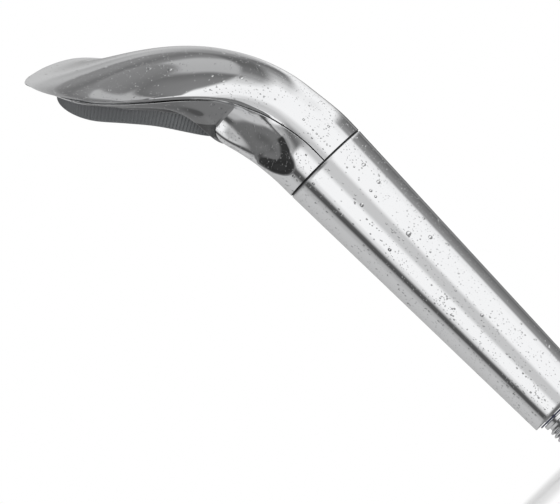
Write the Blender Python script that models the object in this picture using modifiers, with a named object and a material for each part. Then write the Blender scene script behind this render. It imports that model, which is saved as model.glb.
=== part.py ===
"""Handheld bath sprayer: a chromed wand with a leaf-shaped spray head.

Frame: origin at the centre of the inlet's end face, +Z up the handle's axis, the spray
side faces -Y and the plane X = 0 is the plane of symmetry.  Lengths are in metres.
"""
import bpy
import bmesh
import numpy as np
from math import ceil, cos, pi, radians, sin, sqrt
from mathutils import Matrix, Vector

MM = 0.001

# ---------------------------------------------------------------- driving sizes
GAP = 0.3 * MM                   # clearance between pieces that touch or seat
RUN_GAP = 0.3 * MM               # clearance between pieces that turn or slide
ROUND_SEGMENTS = 36              # facets round the large turned pieces
SWIVEL_SEGMENTS = 26             # facets round the swivel connector
SMALL_SEGMENTS = 20              # facets round the small turned pieces

# handle
INLET_LENGTH = 12.8 * MM         # thread and collar that stand below the handle
HANDLE_LENGTH = 125.7 * MM
HANDLE_TOP_RADIUS = 17.5 * MM
HANDLE_END_RADIUS = 13.5 * MM
SLEEVE_WALL = 1.2 * MM
SEAM_GASKET_THICKNESS = 0.5 * MM
SEAM_GASKET_WIDTH = 1.3 * MM
SEAM_RECESS = 0.4 * MM           # the gasket lies this far below the chrome
COLLAR_WALL = 1.8 * MM
COLLAR_GAP = 0.5 * MM            # clearance of the collar in the sleeve and the neck
COLLAR_DEPTH = 6.5 * MM         # how far the collar reaches into either side

# water way
TUBE_RADIUS = 7.0 * MM
TUBE_BORE = 5.0 * MM
ELBOW_RADIUS = 5.6 * MM
ELBOW_BORE = 4.0 * MM
COUPLER_WALL = 2.4 * MM
COUPLER_HALF = 11.0 * MM
COUPLER_WEB = 1.6 * MM
SEAL_GROOVE = 1.1 * MM           # depth of a seal's groove in a bore
SEAL_GROOVE_WIDTH = 2.0 * MM
SEAL_SQUEEZE_GAP = 0.12 * MM     # a seal's clearance to the walls it closes
SUPPORT_THICKNESS = 3.0 * MM
SUPPORT_HEIGHT = 82.0 * MM       # of the ring that centres the water tube

# head: heights above the seam and distances forward of the handle's axis, in mm
HEAD_HEIGHT = 101.8 * MM
TIP_BLUNT = 0.15 * MM            # the tip's last section lies this far short of it
RIM_LINE = ((0, -6.6), (14, -6.0), (25, -3.4), (33, -0.4), (43.3, 4.4), (53.8, 13.0),
            (62.5, 22.4), (72.5, 32.7), (84.7, 43.0), (91.3, 47.9), (95.5, 51.2),
            (98.5, 54.5), (102, 62.2))
RIDGE_LINE = ((0, -17.5), (9, -17.5), (20, -16.1), (33, -13.8), (45.2, -9.2), (54.7, -3.6),
              (63.8, 3.6), (73.8, 14.6), (81.8, 26.2), (88.3, 37.4), (93, 45.4),
              (97.5, 52.7), (102, 62.0))
FRONT_LINE = ((0, 17.5), (9, 17.6), (16, 18.2), (25, 19.4), (33, 20.2), (40, 19.4),
              (48, 18.4), (54, 20.6), (60, 25.4), (67.6, 32.3), (80, 42.7), (90, 50.9),
              (96, 55.2), (102, 62.9))
RIM_WIDTHS = ((0, 16.2), (20, 17.0), (30, 18.0), (40, 20.2), (50, 23.9), (60, 28.6),
              (70, 33.4), (78, 35.6))
RIM_TIP_POWERS = (2.8, 2.0)      # beyond the last of the widths
PARTING_RISE = 6.6 * MM          # the shells' parting line lies behind the axis here
NECK_BLEND = (9.0 * MM, 46.0 * MM)   # the round neck turns into the leaf between these
LIP_THICKNESS = 1.2 * MM
HEAD_WALL = 1.9 * MM
RIM_LAND = 6.0 * MM              # solid width of the rim, where the shells meet
HOLLOW_LEAST = 1.5 * MM          # least depth of the head's hollow, at its tip end
HOLLOW_FLAT = 0.5                # the hollow's front, as a share of its width
SCOOP_DEPTH = 2.6 * MM
SCOOP_RANGE = (7.5 * MM, 24.0 * MM, 40.0 * MM, 60.0 * MM)
HEAD_SECTIONS = 25
TOP_POINTS, SIDE_POINTS, FLAT_POINTS = 8, 7, 3

# spray face, in its own frame: x across, y toward the tip, z out along the spray
FACE_TILT = radians(31.5)        # between the face and the handle's axis
FACE_HEIGHT = 67.0 * MM          # of the face frame's origin above the seam
FACE_FORWARD = 32.5 * MM
FACE_HALF_WIDTH = 30.0 * MM
FACE_WIDEST = 8.8 * MM
FACE_FRONT = 20.0 * MM           # from the widest place to the end near the tip
FACE_REAR = 44.6 * MM            # from the widest place to the end near the neck
FACE_FRONT_POWERS = (1.9, 1.6)
FACE_REAR_POWERS = (1.5, 1.8)
FACE_POINTS = 44
BEZEL_WIDTH = 2.0 * MM
BEZEL_DEPTH = (1.5 * MM, 1.7 * MM)   # behind the face's frame, at the tip end and the rear
BEZEL_RAMP = (12.0 * MM, 35.0 * MM)  # the bezel climbs onto the neck between these
BEZEL_CLIMB = 6.4 * MM
PLATE_RISE = 5.2 * MM            # of the spray plate's front above the face's frame
PLATE_FOOT = 1.2 * MM            # of the plate's skirt below the face's frame
PLATE_THICKNESS = 1.1 * MM
PLATE_DRAFT = 1.0 * MM
MAT_THICKNESS = 1.0 * MM
CHAMBER_SEAL_WIDTH = 1.3 * MM
CHAMBER_SEAL_THICKNESS = 0.7 * MM
CHAMBER_WALL = 1.3 * MM
CHAMBER_DEPTH = (0.7 * MM, 5.2 * MM)  # below the face's frame, at the tip end and the rear
CHAMBER_INSET = 4.6 * MM
SPIGOT_WALL = 1.2 * MM
SPIGOT_LENGTH = 5.0 * MM
PORT_WALL = 1.3 * MM
PORT_INNER = 5.0 * MM            # the duct under the chamber starts this far down
PORT_DEPTH = 8.3 * MM            # of the feed's axis behind the face's frame
PORT_REACH = 31.5 * MM           # of the port's end from the face frame's origin

# nozzles
NOZZLE_PITCH = 6.0 * MM
NOZZLE_EDGE = 7.3 * MM           # outer ring's distance from the bezel's outline
NOZZLE_BASE_RADIUS = 1.30 * MM
NOZZLE_TIP_RADIUS = 0.80 * MM
NOZZLE_RISE = 1.9 * MM           # above the plate
NOZZLE_SIDES = 6

# inlet end
THREAD_RADIUS = 20.955 / 2 * MM  # G 1/2
THREAD_CHAMFER = 0.9 * MM
INLET_BORE = 6.6 * MM
STEM_RADIUS = 9.0 * MM
STEM_BORE = 5.0 * MM
STEM_TOP = 31.5 * MM
GROOVE_DEPTH = 1.3 * MM
GROOVE_WIDTH = 2.2 * MM
SWIVEL_SEAL_HEIGHTS = (17.5 * MM, 24.0 * MM)
WASHER_THICKNESS = 0.6 * MM
WASHER_RADIUS = 11.6 * MM
PLUG_BORE_LENGTH = 16.0 * MM
PLUG_LENGTH = 23.0 * MM
PLUG_WALL = 1.4 * MM
CLIP_THICKNESS = 0.9 * MM
CLIP_WIDTH = 1.9 * MM
CLIP_GROOVE = 1.0 * MM
CLIP_OPENING = radians(55)
SOCKET_SPIGOT = 3.0 * MM
SOCKET_FLANGE = 2.0 * MM
SOCKET_LENGTH = 11.0 * MM
SOCKET_WALL = 2.2 * MM

# strainer, flow regulator and check valve in the connector's bore, from the inlet up
MOUTH_DEPTH = 6.2 * MM
STRAINER_THICKNESS = 1.0 * MM
STRAINER_HOLE = 0.75 * MM
STRAINER_PITCH = 2.3 * MM
REGULATOR_THICKNESS = 2.4 * MM
REGULATOR_BORE = 2.6 * MM
SEAT_THICKNESS = 2.0 * MM
SEAT_BORE = 3.4 * MM
POPPET_RADIUS = 4.7 * MM
POPPET_THICKNESS = 1.4 * MM
POPPET_STEM = 1.3 * MM
POPPET_STEM_LENGTH = 4.0 * MM
POPPET_SEAL_THICKNESS = 0.6 * MM
SPRING_RADIUS = 3.0 * MM
SPRING_WIRE = 0.3 * MM
SPRING_TURNS = 4
SPRING_LENGTH = 6.0 * MM
STOP_THICKNESS = 1.2 * MM
STOP_BORE = 2.0 * MM

# ---------------------------------------------------------------- derived heights
HANDLE_END = INLET_LENGTH
SEAM = HANDLE_END + HANDLE_LENGTH
HEAD_START = SEAM + SEAM_GASKET_THICKNESS / 2 + GAP
SLEEVE_TOP = SEAM - SEAM_GASKET_THICKNESS / 2 - GAP
NECK_RADIUS = HANDLE_TOP_RADIUS

COLOURS = {
    "chrome": ((0.80, 0.81, 0.83, 1), 0.08, 1.0),
    "steel": ((0.58, 0.60, 0.62, 1), 0.25, 1.0),
    "brass": ((0.72, 0.74, 0.77, 1), 0.12, 1.0),
    "face": ((0.30, 0.31, 0.33, 1), 0.35, 0.0),
    "silicone": ((0.10, 0.10, 0.11, 1), 0.60, 0.0),
    "seal": ((0.03, 0.03, 0.03, 1), 0.65, 0.0),
    "inner_plastic": ((0.62, 0.63, 0.64, 1), 0.45, 0.0),
    "tube_plastic": ((0.78, 0.79, 0.80, 1), 0.40, 0.0),
    "valve_plastic": ((0.12, 0.30, 0.62, 1), 0.40, 0.0),
}


# ---------------------------------------------------------------- scene helpers
def clear_scene():
    for old in list(bpy.data.objects):
        bpy.data.objects.remove(old, do_unlink=True)


def new_collection(name):
    made = bpy.data.collections.new(name)
    bpy.context.scene.collection.children.link(made)
    return made


def add_object(name, mesh, kind, parent=None):
    """Wrap a mesh or a curve as one named sub-part with a material of its own."""
    colour, roughness, metallic = COLOURS[kind]
    material = bpy.data.materials.new(name + "_" + kind)
    material.use_nodes = True
    surface = material.node_tree.nodes["Principled BSDF"]
    surface.inputs["Base Color"].default_value = colour
    surface.inputs["Roughness"].default_value = roughness
    surface.inputs["Metallic"].default_value = metallic
    part = bpy.data.objects.new(name, mesh)
    part.data.materials.append(material)
    PARTS.objects.link(part)
    part.parent = parent
    return part


def add_cutter(name, mesh, parent=None):
    cutter = bpy.data.objects.new(name, mesh)
    CUTTERS.objects.link(cutter)
    cutter.hide_render = True
    cutter.display_type = 'WIRE'
    cutter.parent = parent
    return cutter


def cut(part, cutter, operation='DIFFERENCE'):
    step = part.modifiers.new(operation.title(), 'BOOLEAN')
    step.operation = operation
    step.solver = 'EXACT'
    step.object = cutter


def add_empty(name, location, turn_x=0.0, parent=None):
    empty = bpy.data.objects.new(name, None)
    PARTS.objects.link(empty)
    empty.location = location
    empty.rotation_euler = (turn_x, 0, 0)
    empty.parent = parent
    return empty


def smooth(mesh, angle=35):
    mesh.shade_smooth()
    mesh.set_sharp_from_angle(angle=radians(angle))


# ---------------------------------------------------------------- shape helpers
def turned(name, kind, profile, height=0.0, segments=SMALL_SEGMENTS, parent=None):
    """Turn a closed profile of (radius, z) points, running down its outer side."""
    mesh = bpy.data.meshes.new(name)
    ring = bmesh.new()
    corners = [ring.verts.new((r, 0, z)) for r, z in profile]
    for i, corner in enumerate(corners):
        following = corners[(i + 1) % len(corners)]
        if corner.co.x > 0 or following.co.x > 0:
            ring.edges.new((corner, following))
    ring.to_mesh(mesh)
    ring.free()
    part = add_object(name, mesh, kind, parent)
    part.location = (0, 0, height)
    screw = part.modifiers.new("Turn", 'SCREW')
    screw.axis = 'Z'
    screw.steps = screw.render_steps = segments
    screw.use_merge_vertices = True
    screw.merge_threshold = 0.00001
    screw.use_smooth_shade = True
    return part


def ring_profile(outer, inner, length):
    return [(outer, length), (outer, 0), (inner, 0), (inner, length)]


def o_ring(name, inner, outer, height, parent=None):
    """A seal between two round walls of these radii."""
    bpy.ops.mesh.primitive_torus_add(major_radius=(inner + outer) / 2,
                                     minor_radius=(outer - inner) / 2 - SEAL_SQUEEZE_GAP,
                                     major_segments=SMALL_SEGMENTS, minor_segments=5)
    made = bpy.context.active_object
    mesh = made.data
    bpy.data.objects.remove(made)
    smooth(mesh, 60)
    part = add_object(name, mesh, "seal", parent)
    part.location = (0, 0, height)
    return part


def loft_mesh(name, rings):
    """Skin a run of closed rings that have the same number of points."""
    skin = bmesh.new()
    rows = [[skin.verts.new(p) for p in ring] for ring in rings]
    count = len(rows[0])
    for low, high in zip(rows, rows[1:]):
        for i in range(count):
            j = (i + 1) % count
            skin.faces.new((low[i], low[j], high[j], high[i]))
    skin.faces.new(rows[0])
    skin.faces.new(rows[-1])
    bmesh.ops.recalc_face_normals(skin, faces=skin.faces)
    mesh = bpy.data.meshes.new(name)
    skin.to_mesh(mesh)
    skin.free()
    return mesh


def circle(centre, radius, sides):
    turns = [2 * pi * i / sides for i in range(sides)]
    return [(centre[0] + radius * cos(t), centre[1] + radius * sin(t)) for t in turns]


def flat_curve(name, outlines, thickness):
    """A flat sheet from closed outlines: the first is its edge, the rest are holes."""
    curve = bpy.data.curves.new(name, 'CURVE')
    curve.dimensions = '2D'
    curve.fill_mode = 'BOTH'
    curve.extrude = thickness / 2
    for outline in outlines:
        spline = curve.splines.new('POLY')
        spline.points.add(len(outline) - 1)
        for point, (x, y) in zip(spline.points, outline):
            point.co = (x, y, 0, 1)
        spline.use_cyclic_u = True
    return curve


def curve_to_mesh(name, curve, move=Matrix()):
    """Bake a curve to one welded, closed mesh."""
    holder = bpy.data.objects.new(name, curve)
    CUTTERS.objects.link(holder)
    bpy.context.view_layer.update()
    evaluated = holder.evaluated_get(bpy.context.evaluated_depsgraph_get())
    mesh = bpy.data.meshes.new_from_object(evaluated)
    bpy.data.objects.remove(holder)
    weld = bmesh.new()
    weld.from_mesh(mesh)
    bmesh.ops.remove_doubles(weld, verts=weld.verts, dist=0.00001)
    bmesh.ops.transform(weld, matrix=move, verts=weld.verts)
    bmesh.ops.recalc_face_normals(weld, faces=weld.faces)
    weld.to_mesh(mesh)
    weld.free()
    return mesh


def sheet_mesh(name, outlines, low, high):
    return curve_to_mesh(name, flat_curve(name, outlines, high - low),
                         Matrix.Translation((0, 0, (low + high) / 2)))


def rod_mesh(name, points, radius, resolution=4):
    """A round bar along a polyline, with filled ends."""
    curve = bpy.data.curves.new(name, 'CURVE')
    curve.dimensions = '3D'
    curve.bevel_depth = radius
    curve.bevel_resolution = resolution
    curve.use_fill_caps = True
    spline = curve.splines.new('POLY')
    spline.points.add(len(points) - 1)
    for point, place in zip(spline.points, points):
        point.co = (*place, 1)
    return curve_to_mesh(name, curve)


# ---------------------------------------------------------------- curves of the head
def ease(value, low, high):
    t = min(max((value - low) / (high - low), 0.0), 1.0)
    return t * t * (3 - 2 * t)


def through(stations, height):
    """A smooth curve through (height, distance) stations given in millimetres."""
    xs = [a * MM for a, _ in stations]
    ys = [b * MM for _, b in stations]
    slopes = [(ys[i + 1] - ys[i]) / (xs[i + 1] - xs[i]) for i in range(len(xs) - 1)]
    tangents = [slopes[0]] + [(a + b) / 2 for a, b in zip(slopes, slopes[1:])] + [slopes[-1]]
    if height <= xs[0]:
        return ys[0] + tangents[0] * (height - xs[0])
    if height >= xs[-1]:
        return ys[-1] + tangents[-1] * (height - xs[-1])
    i = int(np.searchsorted(xs, height)) - 1
    span = xs[i + 1] - xs[i]
    t = (height - xs[i]) / span
    return ((1 + 2 * t) * (1 - t) ** 2 * ys[i] + t * (1 - t) ** 2 * span * tangents[i]
            + t * t * (3 - 2 * t) * ys[i + 1] + t * t * (t - 1) * span * tangents[i + 1])


def stretch(line, height):
    """How much longer a normal wall looks when it is cut level: sqrt(1 + slope^2)."""
    step = 0.5 * MM
    slope = (line(height + step) - line(height - step)) / (2 * step)
    return sqrt(1 + slope * slope)


def leaf(distance, length, powers):
    """Half-width, as a share, at a distance from the widest place of a leaf's end."""
    share = min(abs(distance) / length, 1.0)
    return max(1 - share ** powers[0], 0.0) ** (1 / powers[1])


def ridge_forward(height):
    return through(RIDGE_LINE, height)


def front_forward(height):
    """The neck's front, running into the underside that carries the spray face."""
    return through(FRONT_LINE, height)


def rim_forward(height):
    return through(RIM_LINE, height)


def rim_half_width(height):
    widest, width = (value * MM for value in RIM_WIDTHS[-1])
    if height < widest:
        return through(RIM_WIDTHS, height)
    return width * leaf(height - widest, HEAD_HEIGHT - widest, RIM_TIP_POWERS)


def neck_share(height):
    return 1 - ease(height, *NECK_BLEND)


def scoop(height):
    """Depth of the hollow in either side of the neck."""
    start, full, fade, end = SCOOP_RANGE
    return SCOOP_DEPTH * ease(height, start, full) * (1 - ease(height, fade, end))


def arch_power(height):
    """How the back's arch flares toward the rim: round at the neck, bell-like above."""
    return 0.55 + 1.05 * ease(height, 20 * MM, 88 * MM)


def underside(share, width, rim, flat, front):
    """A point of the side wall, from the rim (0) to the edge of the flat (1)."""
    return width + (flat - width) * share ** 0.72, rim + (front - rim) * share ** 1.35


def half_section(height, hollow):
    """Points (x, forward) from the ridge round one side to the front, at a height."""
    ridge, front, rim = ridge_forward(height), front_forward(height), rim_forward(height)
    width = rim_half_width(height)
    power = arch_power(height)
    neck = neck_share(height)
    flat = flat_half_width(height, width)
    wall = 0.0
    if hollow:
        wall = HEAD_WALL
        land = HEAD_WALL + (RIM_LAND - HEAD_WALL) * (1 - neck)
        inner = max(width - land, 0.35 * width)
        top = rim + (ridge - rim) * (1 - (inner / width) ** 2) ** power
        share = ((width - inner) / (width - flat)) ** (1 / 0.72) if inner > flat else 1.0
        below = underside(share, width, rim, flat, front)[1]
        ridge += wall * stretch(ridge_forward, height)
        front -= wall * stretch(front_forward, height)
        rim = (top + below) / 2
        flat = HOLLOW_FLAT * inner
        width = inner
    middle, radius = (front + ridge) / 2, (front - ridge) / 2
    start = np.arcsin(PARTING_RISE / NECK_RADIUS)
    points = []
    for i in range(TOP_POINTS):
        turn = pi / 2 * (1 - i / TOP_POINTS)
        angle = start + (pi / 2 - start) * turn / (pi / 2)
        around = (radius * cos(angle), middle - radius * sin(angle))
        arch = (width * cos(turn), rim + (ridge - rim) * sin(turn) ** (2 * power))
        points.append(mix(arch, around, neck))
    lower = SIDE_POINTS + FLAT_POINTS
    for i in range(lower + 1):
        angle = start - (pi / 2 + start) * i / lower
        hollowed = radius - scoop(height) * hollow_share(angle)
        around = (hollowed * cos(angle), middle - hollowed * sin(angle))
        if i <= SIDE_POINTS:
            leaf_point = underside(i / SIDE_POINTS, width, rim, flat, front)
        else:
            leaf_point = (flat * (1 - (i - SIDE_POINTS) / FLAT_POINTS), front)
        points.append(mix(leaf_point, around, neck))
    return points


def hollow_share(angle):
    """The scoop's depth across its width, none at its edges."""
    middle, half = radians(-36), radians(40)
    away = min(abs(angle - middle) / half, 1.0)
    return (1 + cos(pi * away)) / 2


def flat_half_width(height, width):
    """Half-width of the flat round the spray face, a little wider than the bezel."""
    along = (height - FACE_HEIGHT) / cos(FACE_TILT)
    bezel = FACE_HALF_WIDTH * face_share(along, 0.0)
    return min(max(bezel + 1.0 * MM, 0.42 * width), width - 1.5 * MM, 0.93 * width)


def mix(one, other, share):
    return tuple(a + (b - a) * share for a, b in zip(one, other))


def section_ring(height, hollow):
    half = half_section(height, hollow)
    ring = half + [(-x, f) for x, f in reversed(half[1:-1])]
    return [(x, -f, SEAM + height) for x, f in ring]


def section_heights(low, high):
    """Heights from the neck to the tip, closer together toward the tip."""
    return [low + (high - low) * sin(pi / 2 * i / HEAD_SECTIONS) for i in range(HEAD_SECTIONS + 1)]


def hollow_end():
    """Height where the back and the face come too close together for a hollow."""
    height = HEAD_HEIGHT - RIM_LAND
    while True:
        half = half_section(height, True)
        if half[-1][1] - half[0][1] > HOLLOW_LEAST:
            return height
        height -= 0.5 * MM


def parting_forward(height):
    """Where the two shells part, seen from the side: just below the rim's lip."""
    rim_point = half_section(height, False)[TOP_POINTS]
    return rim_point[1] + LIP_THICKNESS * (1 - neck_share(height)) * stretch(rim_forward, height)


def parting_cutter(name, side):
    """Everything behind (-1) or in front (+1) of the parting line, as a wide block."""
    reach = 90 * MM
    heights = list(np.linspace(-4 * MM, HEAD_HEIGHT - 1 * MM, 40)) + [HEAD_HEIGHT + 12 * MM]
    edge = []
    for height in heights:
        base = min(max(height, 0.0), HEAD_HEIGHT - 1 * MM)
        forward = parting_forward(base) + (height - base) * (1.0 if height > base else 0.0)
        edge.append((forward + side * GAP / 2 * stretch(rim_forward, base), SEAM + height))
    far = side * reach
    outline = edge + [(far, edge[-1][1]), (far, edge[0][1])]
    rings = [[(x, -f, z) for f, z in outline] for x in (-reach, reach)]
    return add_cutter(name, loft_mesh(name, rings))


# ---------------------------------------------------------------- outline of the face
def face_share(along, inset):
    """Half-width share at a distance along the face, for an outline set in by `inset`."""
    away = along - FACE_WIDEST
    if away >= 0:
        return leaf(away, FACE_FRONT - inset, FACE_FRONT_POWERS)
    return leaf(away, FACE_REAR - inset, FACE_REAR_POWERS)


def face_outline(inset, count=FACE_POINTS):
    """Points of the leaf-shaped outline, evenly spaced, from the end near the tip."""
    half = FACE_HALF_WIDTH - inset
    dense = []
    for i in range(1200):
        turn = 2 * pi * i / 1200
        length = (FACE_FRONT if cos(turn) >= 0 else FACE_REAR) - inset
        along = FACE_WIDEST + length * cos(turn)
        side = half * face_share(along, inset)
        dense.append((side if sin(turn) >= 0 else -side, along))
    dense = np.array(dense + dense[:1])
    steps = np.hypot(*np.diff(dense, axis=0).T)
    run = np.concatenate(([0.0], np.cumsum(steps)))
    at = np.linspace(0, run[-1], count, endpoint=False)
    return [(float(np.interp(s, run, dense[:, 0])), float(np.interp(s, run, dense[:, 1])))
            for s in at]


def outline_length(inset):
    points = np.array(face_outline(inset, 200))
    return float(np.hypot(*(points - np.roll(points, 1, axis=0)).T).sum())


def nozzle_places():
    """A ring of nozzles along the outline, and staggered rows inside it."""
    count = int(round(outline_length(NOZZLE_EDGE) / NOZZLE_PITCH))
    places = face_outline(NOZZLE_EDGE, count)
    inner = NOZZLE_EDGE + 0.86 * NOZZLE_PITCH
    row_step = NOZZLE_PITCH * sqrt(3) / 2
    reach = ceil((FACE_REAR + FACE_FRONT) / row_step)
    for row in range(-reach, reach + 1):
        y = FACE_WIDEST + row * row_step
        half = (FACE_HALF_WIDTH - inner) * face_share(y, inner)
        shift = 0.5 if row % 2 else 0.0
        for column in range(-reach, reach + 1):
            x = (column + shift) * NOZZLE_PITCH
            if abs(x) < half:
                places.append((x, y))
    return places


# ---------------------------------------------------------------- the head
def head_shells(recesses):
    for name, side in (("head_top_shell", -1), ("head_bottom_shell", 1)):
        outer = loft_mesh(name, [section_ring(h, False)
                                 for h in section_heights(HEAD_START - SEAM,
                                                          HEAD_HEIGHT - TIP_BLUNT)])
        smooth(outer, 40)
        part = add_object(name, outer, "chrome")
        cut(part, parting_cutter(name + "_parting", side), 'INTERSECT')
        for recess in recesses:
            cut(part, recess)
        heights = section_heights(-3 * MM, hollow_end())[::2]
        hollow = loft_mesh(name + "_hollow", [section_ring(h, True) for h in heights])
        cut(part, add_cutter(name + "_hollow", hollow))


def slope_at(y, depths):
    """Depth behind the face's frame: the first at the tip end, the second at the rear."""
    tip, rear = FACE_WIDEST + FACE_FRONT, FACE_WIDEST - FACE_REAR
    return -(depths[0] + (depths[1] - depths[0]) * (tip - y) / (tip - rear))


def deeper(depths, more):
    return tuple(depth + more for depth in depths)


def face_recesses(frame):
    """Pockets in both shells for the bezel, for the chamber behind it and for its duct."""
    far = 14 * MM
    bezel = wedge_mesh("bezel_pocket", -GAP, far, deeper(BEZEL_DEPTH, GAP))
    chamber = wedge_mesh("chamber_pocket", CHAMBER_INSET - GAP, far, deeper(CHAMBER_DEPTH, GAP))
    duct = port_cutter("duct_pocket", ELBOW_BORE + PORT_WALL, PORT_INNER - GAP,
                       PORT_REACH + GAP, frame)
    return (add_cutter("bezel_pocket", bezel, frame),
            add_cutter("chamber_pocket", chamber, frame), duct)


def wedge_mesh(name, inset, high, depths):
    """A prism on the face's outline whose back slopes from the tip end to the rear."""
    outline = face_outline(inset)
    return loft_mesh(name, [[(x, y, slope_at(y, depths)) for x, y in outline],
                            [(x, y, high) for x, y in outline]])


def bezel_front(y):
    return BEZEL_CLIMB * ease(-y, *BEZEL_RAMP)


def face_bezel(frame):
    """The ring round the spray plate, rising at the rear to lie on the neck."""
    rings = []
    for inset, level in ((0, 0), (BEZEL_WIDTH, 0), (BEZEL_WIDTH, 1), (0.7 * MM, 1), (0, 0.8)):
        rings.append([(x, y, slope_at(y, BEZEL_DEPTH) * (1 - level)
                       + (bezel_front(y) * level)) for x, y in face_outline(inset)])
    skin = bmesh.new()
    rows = [[skin.verts.new(p) for p in ring] for ring in rings]
    for row, following in zip(rows, rows[1:] + rows[:1]):
        for i in range(len(row)):
            j = (i + 1) % len(row)
            skin.faces.new((row[i], row[j], following[j], following[i]))
    bmesh.ops.recalc_face_normals(skin, faces=skin.faces)
    mesh = bpy.data.meshes.new("face_bezel")
    skin.to_mesh(mesh)
    skin.free()
    smooth(mesh)
    add_object("face_bezel", mesh, "chrome", frame)


def skirt_inset(z):
    """The plate's skirt leans in toward its front: its outline's inset at a level."""
    share = (z + PLATE_FOOT) / (PLATE_RISE + PLATE_FOOT)
    return BEZEL_WIDTH + GAP + PLATE_DRAFT * share


def prism_mesh(name, low, high, inset_low, inset_high):
    return loft_mesh(name, [[(x, y, low) for x, y in face_outline(inset_low)],
                            [(x, y, high) for x, y in face_outline(inset_high)]])


def face_stack(frame):
    """Bezel, perforated plate, nozzle mat, seal and water chamber, from outside in."""
    face_bezel(frame)
    places = nozzle_places()
    front, foot = PLATE_RISE, -PLATE_FOOT
    plate = add_object("spray_plate", prism_mesh(
        "spray_plate", foot, front, skirt_inset(foot), skirt_inset(front)), "face", frame)
    smooth(plate.data)
    under = front - PLATE_THICKNESS
    inside = prism_mesh("plate_inside", foot - 1 * MM, under,
                        skirt_inset(foot - 1 * MM) + PLATE_THICKNESS,
                        skirt_inset(under) + PLATE_THICKNESS)
    cut(plate, add_cutter("plate_inside", inside, frame))
    hole_radius = (NOZZLE_BASE_RADIUS + GAP) / cos(pi / NOZZLE_SIDES)
    cut(plate, cone_field("nozzle_holes", places, hole_radius, hole_radius,
                          under - 1 * MM, front + 1 * MM, frame))

    mat_high = under - GAP
    mat_low = mat_high - MAT_THICKNESS
    mat_inset = skirt_inset(mat_high) + PLATE_THICKNESS + GAP
    mat = add_object("nozzle_mat", sheet_mesh(
        "nozzle_mat", [face_outline(mat_inset)], mat_low, mat_high), "silicone", frame)
    cut(mat, cone_field("nozzles", places, NOZZLE_BASE_RADIUS, NOZZLE_TIP_RADIUS,
                        mat_high - MAT_THICKNESS / 2, front + NOZZLE_RISE, frame), 'UNION')

    seal_high = mat_low - GAP
    seal_low = seal_high - CHAMBER_SEAL_THICKNESS
    add_object("chamber_seal", sheet_mesh(
        "chamber_seal", [face_outline(CHAMBER_INSET),
                         face_outline(CHAMBER_INSET + CHAMBER_SEAL_WIDTH)],
        seal_low, seal_high), "seal", frame)
    water_chamber(seal_low - GAP, frame)


def water_chamber(high, frame):
    """A dish behind the mat, with a duct along its back that ends in a spigot."""
    chamber = add_object("water_chamber", wedge_mesh(
        "water_chamber", CHAMBER_INSET, high, CHAMBER_DEPTH), "inner_plastic", frame)
    spigot = ELBOW_BORE - GAP
    cut(chamber, port_cutter("duct", spigot + PORT_WALL, PORT_INNER, PORT_REACH, frame), 'UNION')
    cut(chamber, port_cutter("spigot", spigot, PORT_REACH - 4 * MM,
                             PORT_REACH + SPIGOT_LENGTH, frame), 'UNION')
    cut(chamber, add_cutter("chamber_hollow", wedge_mesh(
        "chamber_hollow", CHAMBER_INSET + CHAMBER_SEAL_WIDTH, high + 1 * MM,
        deeper(CHAMBER_DEPTH, -CHAMBER_WALL)), frame))
    cut(chamber, port_cutter("port_bore", spigot - SPIGOT_WALL, PORT_INNER + PORT_WALL,
                             PORT_REACH + SPIGOT_LENGTH + 1 * MM, frame))
    feed = PORT_INNER + PORT_WALL + spigot - SPIGOT_WALL
    cut(chamber, upright_cutter("duct_mouth", spigot - SPIGOT_WALL, -PORT_DEPTH, high,
                                (0, -feed), frame))


def upright_cutter(name, radius, low, high, place, frame):
    body = bmesh.new()
    bmesh.ops.create_cone(body, cap_ends=True, segments=SMALL_SEGMENTS, radius1=radius,
                          radius2=radius, depth=high - low,
                          matrix=Matrix.Translation((*place, (low + high) / 2)))
    mesh = bpy.data.meshes.new(name)
    body.to_mesh(mesh)
    body.free()
    return add_cutter(name, mesh, frame)


def cone_field(name, places, low_radius, high_radius, low, high, frame):
    """A separate cone or bar at each nozzle's place, all in one cutter."""
    cones = bmesh.new()
    for x, y in places:
        bmesh.ops.create_cone(cones, cap_ends=True, segments=NOZZLE_SIDES,
                              radius1=low_radius, radius2=high_radius, depth=high - low,
                              matrix=Matrix.Translation((x, y, (low + high) / 2)))
    mesh = bpy.data.meshes.new(name)
    cones.to_mesh(mesh)
    cones.free()
    return add_cutter(name, mesh, frame)


def port_cutter(name, radius, near, far, frame):
    """A bar along the feed's axis, which runs from the chamber's rear toward the neck."""
    body = bmesh.new()
    place = Matrix.Translation((0, -(near + far) / 2, -PORT_DEPTH)) @ Matrix.Rotation(pi / 2, 4, 'X')
    bmesh.ops.create_cone(body, cap_ends=True, segments=SMALL_SEGMENTS, radius1=radius,
                          radius2=radius, depth=far - near, matrix=place)
    mesh = bpy.data.meshes.new(name)
    body.to_mesh(mesh)
    body.free()
    return add_cutter(name, mesh, frame)


def face_point(y, z):
    """A point of the face frame's mid-plane as (forward, height above the seam)."""
    return (FACE_FORWARD + y * sin(FACE_TILT) + z * cos(FACE_TILT),
            FACE_HEIGHT + y * cos(FACE_TILT) - z * sin(FACE_TILT))


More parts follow.
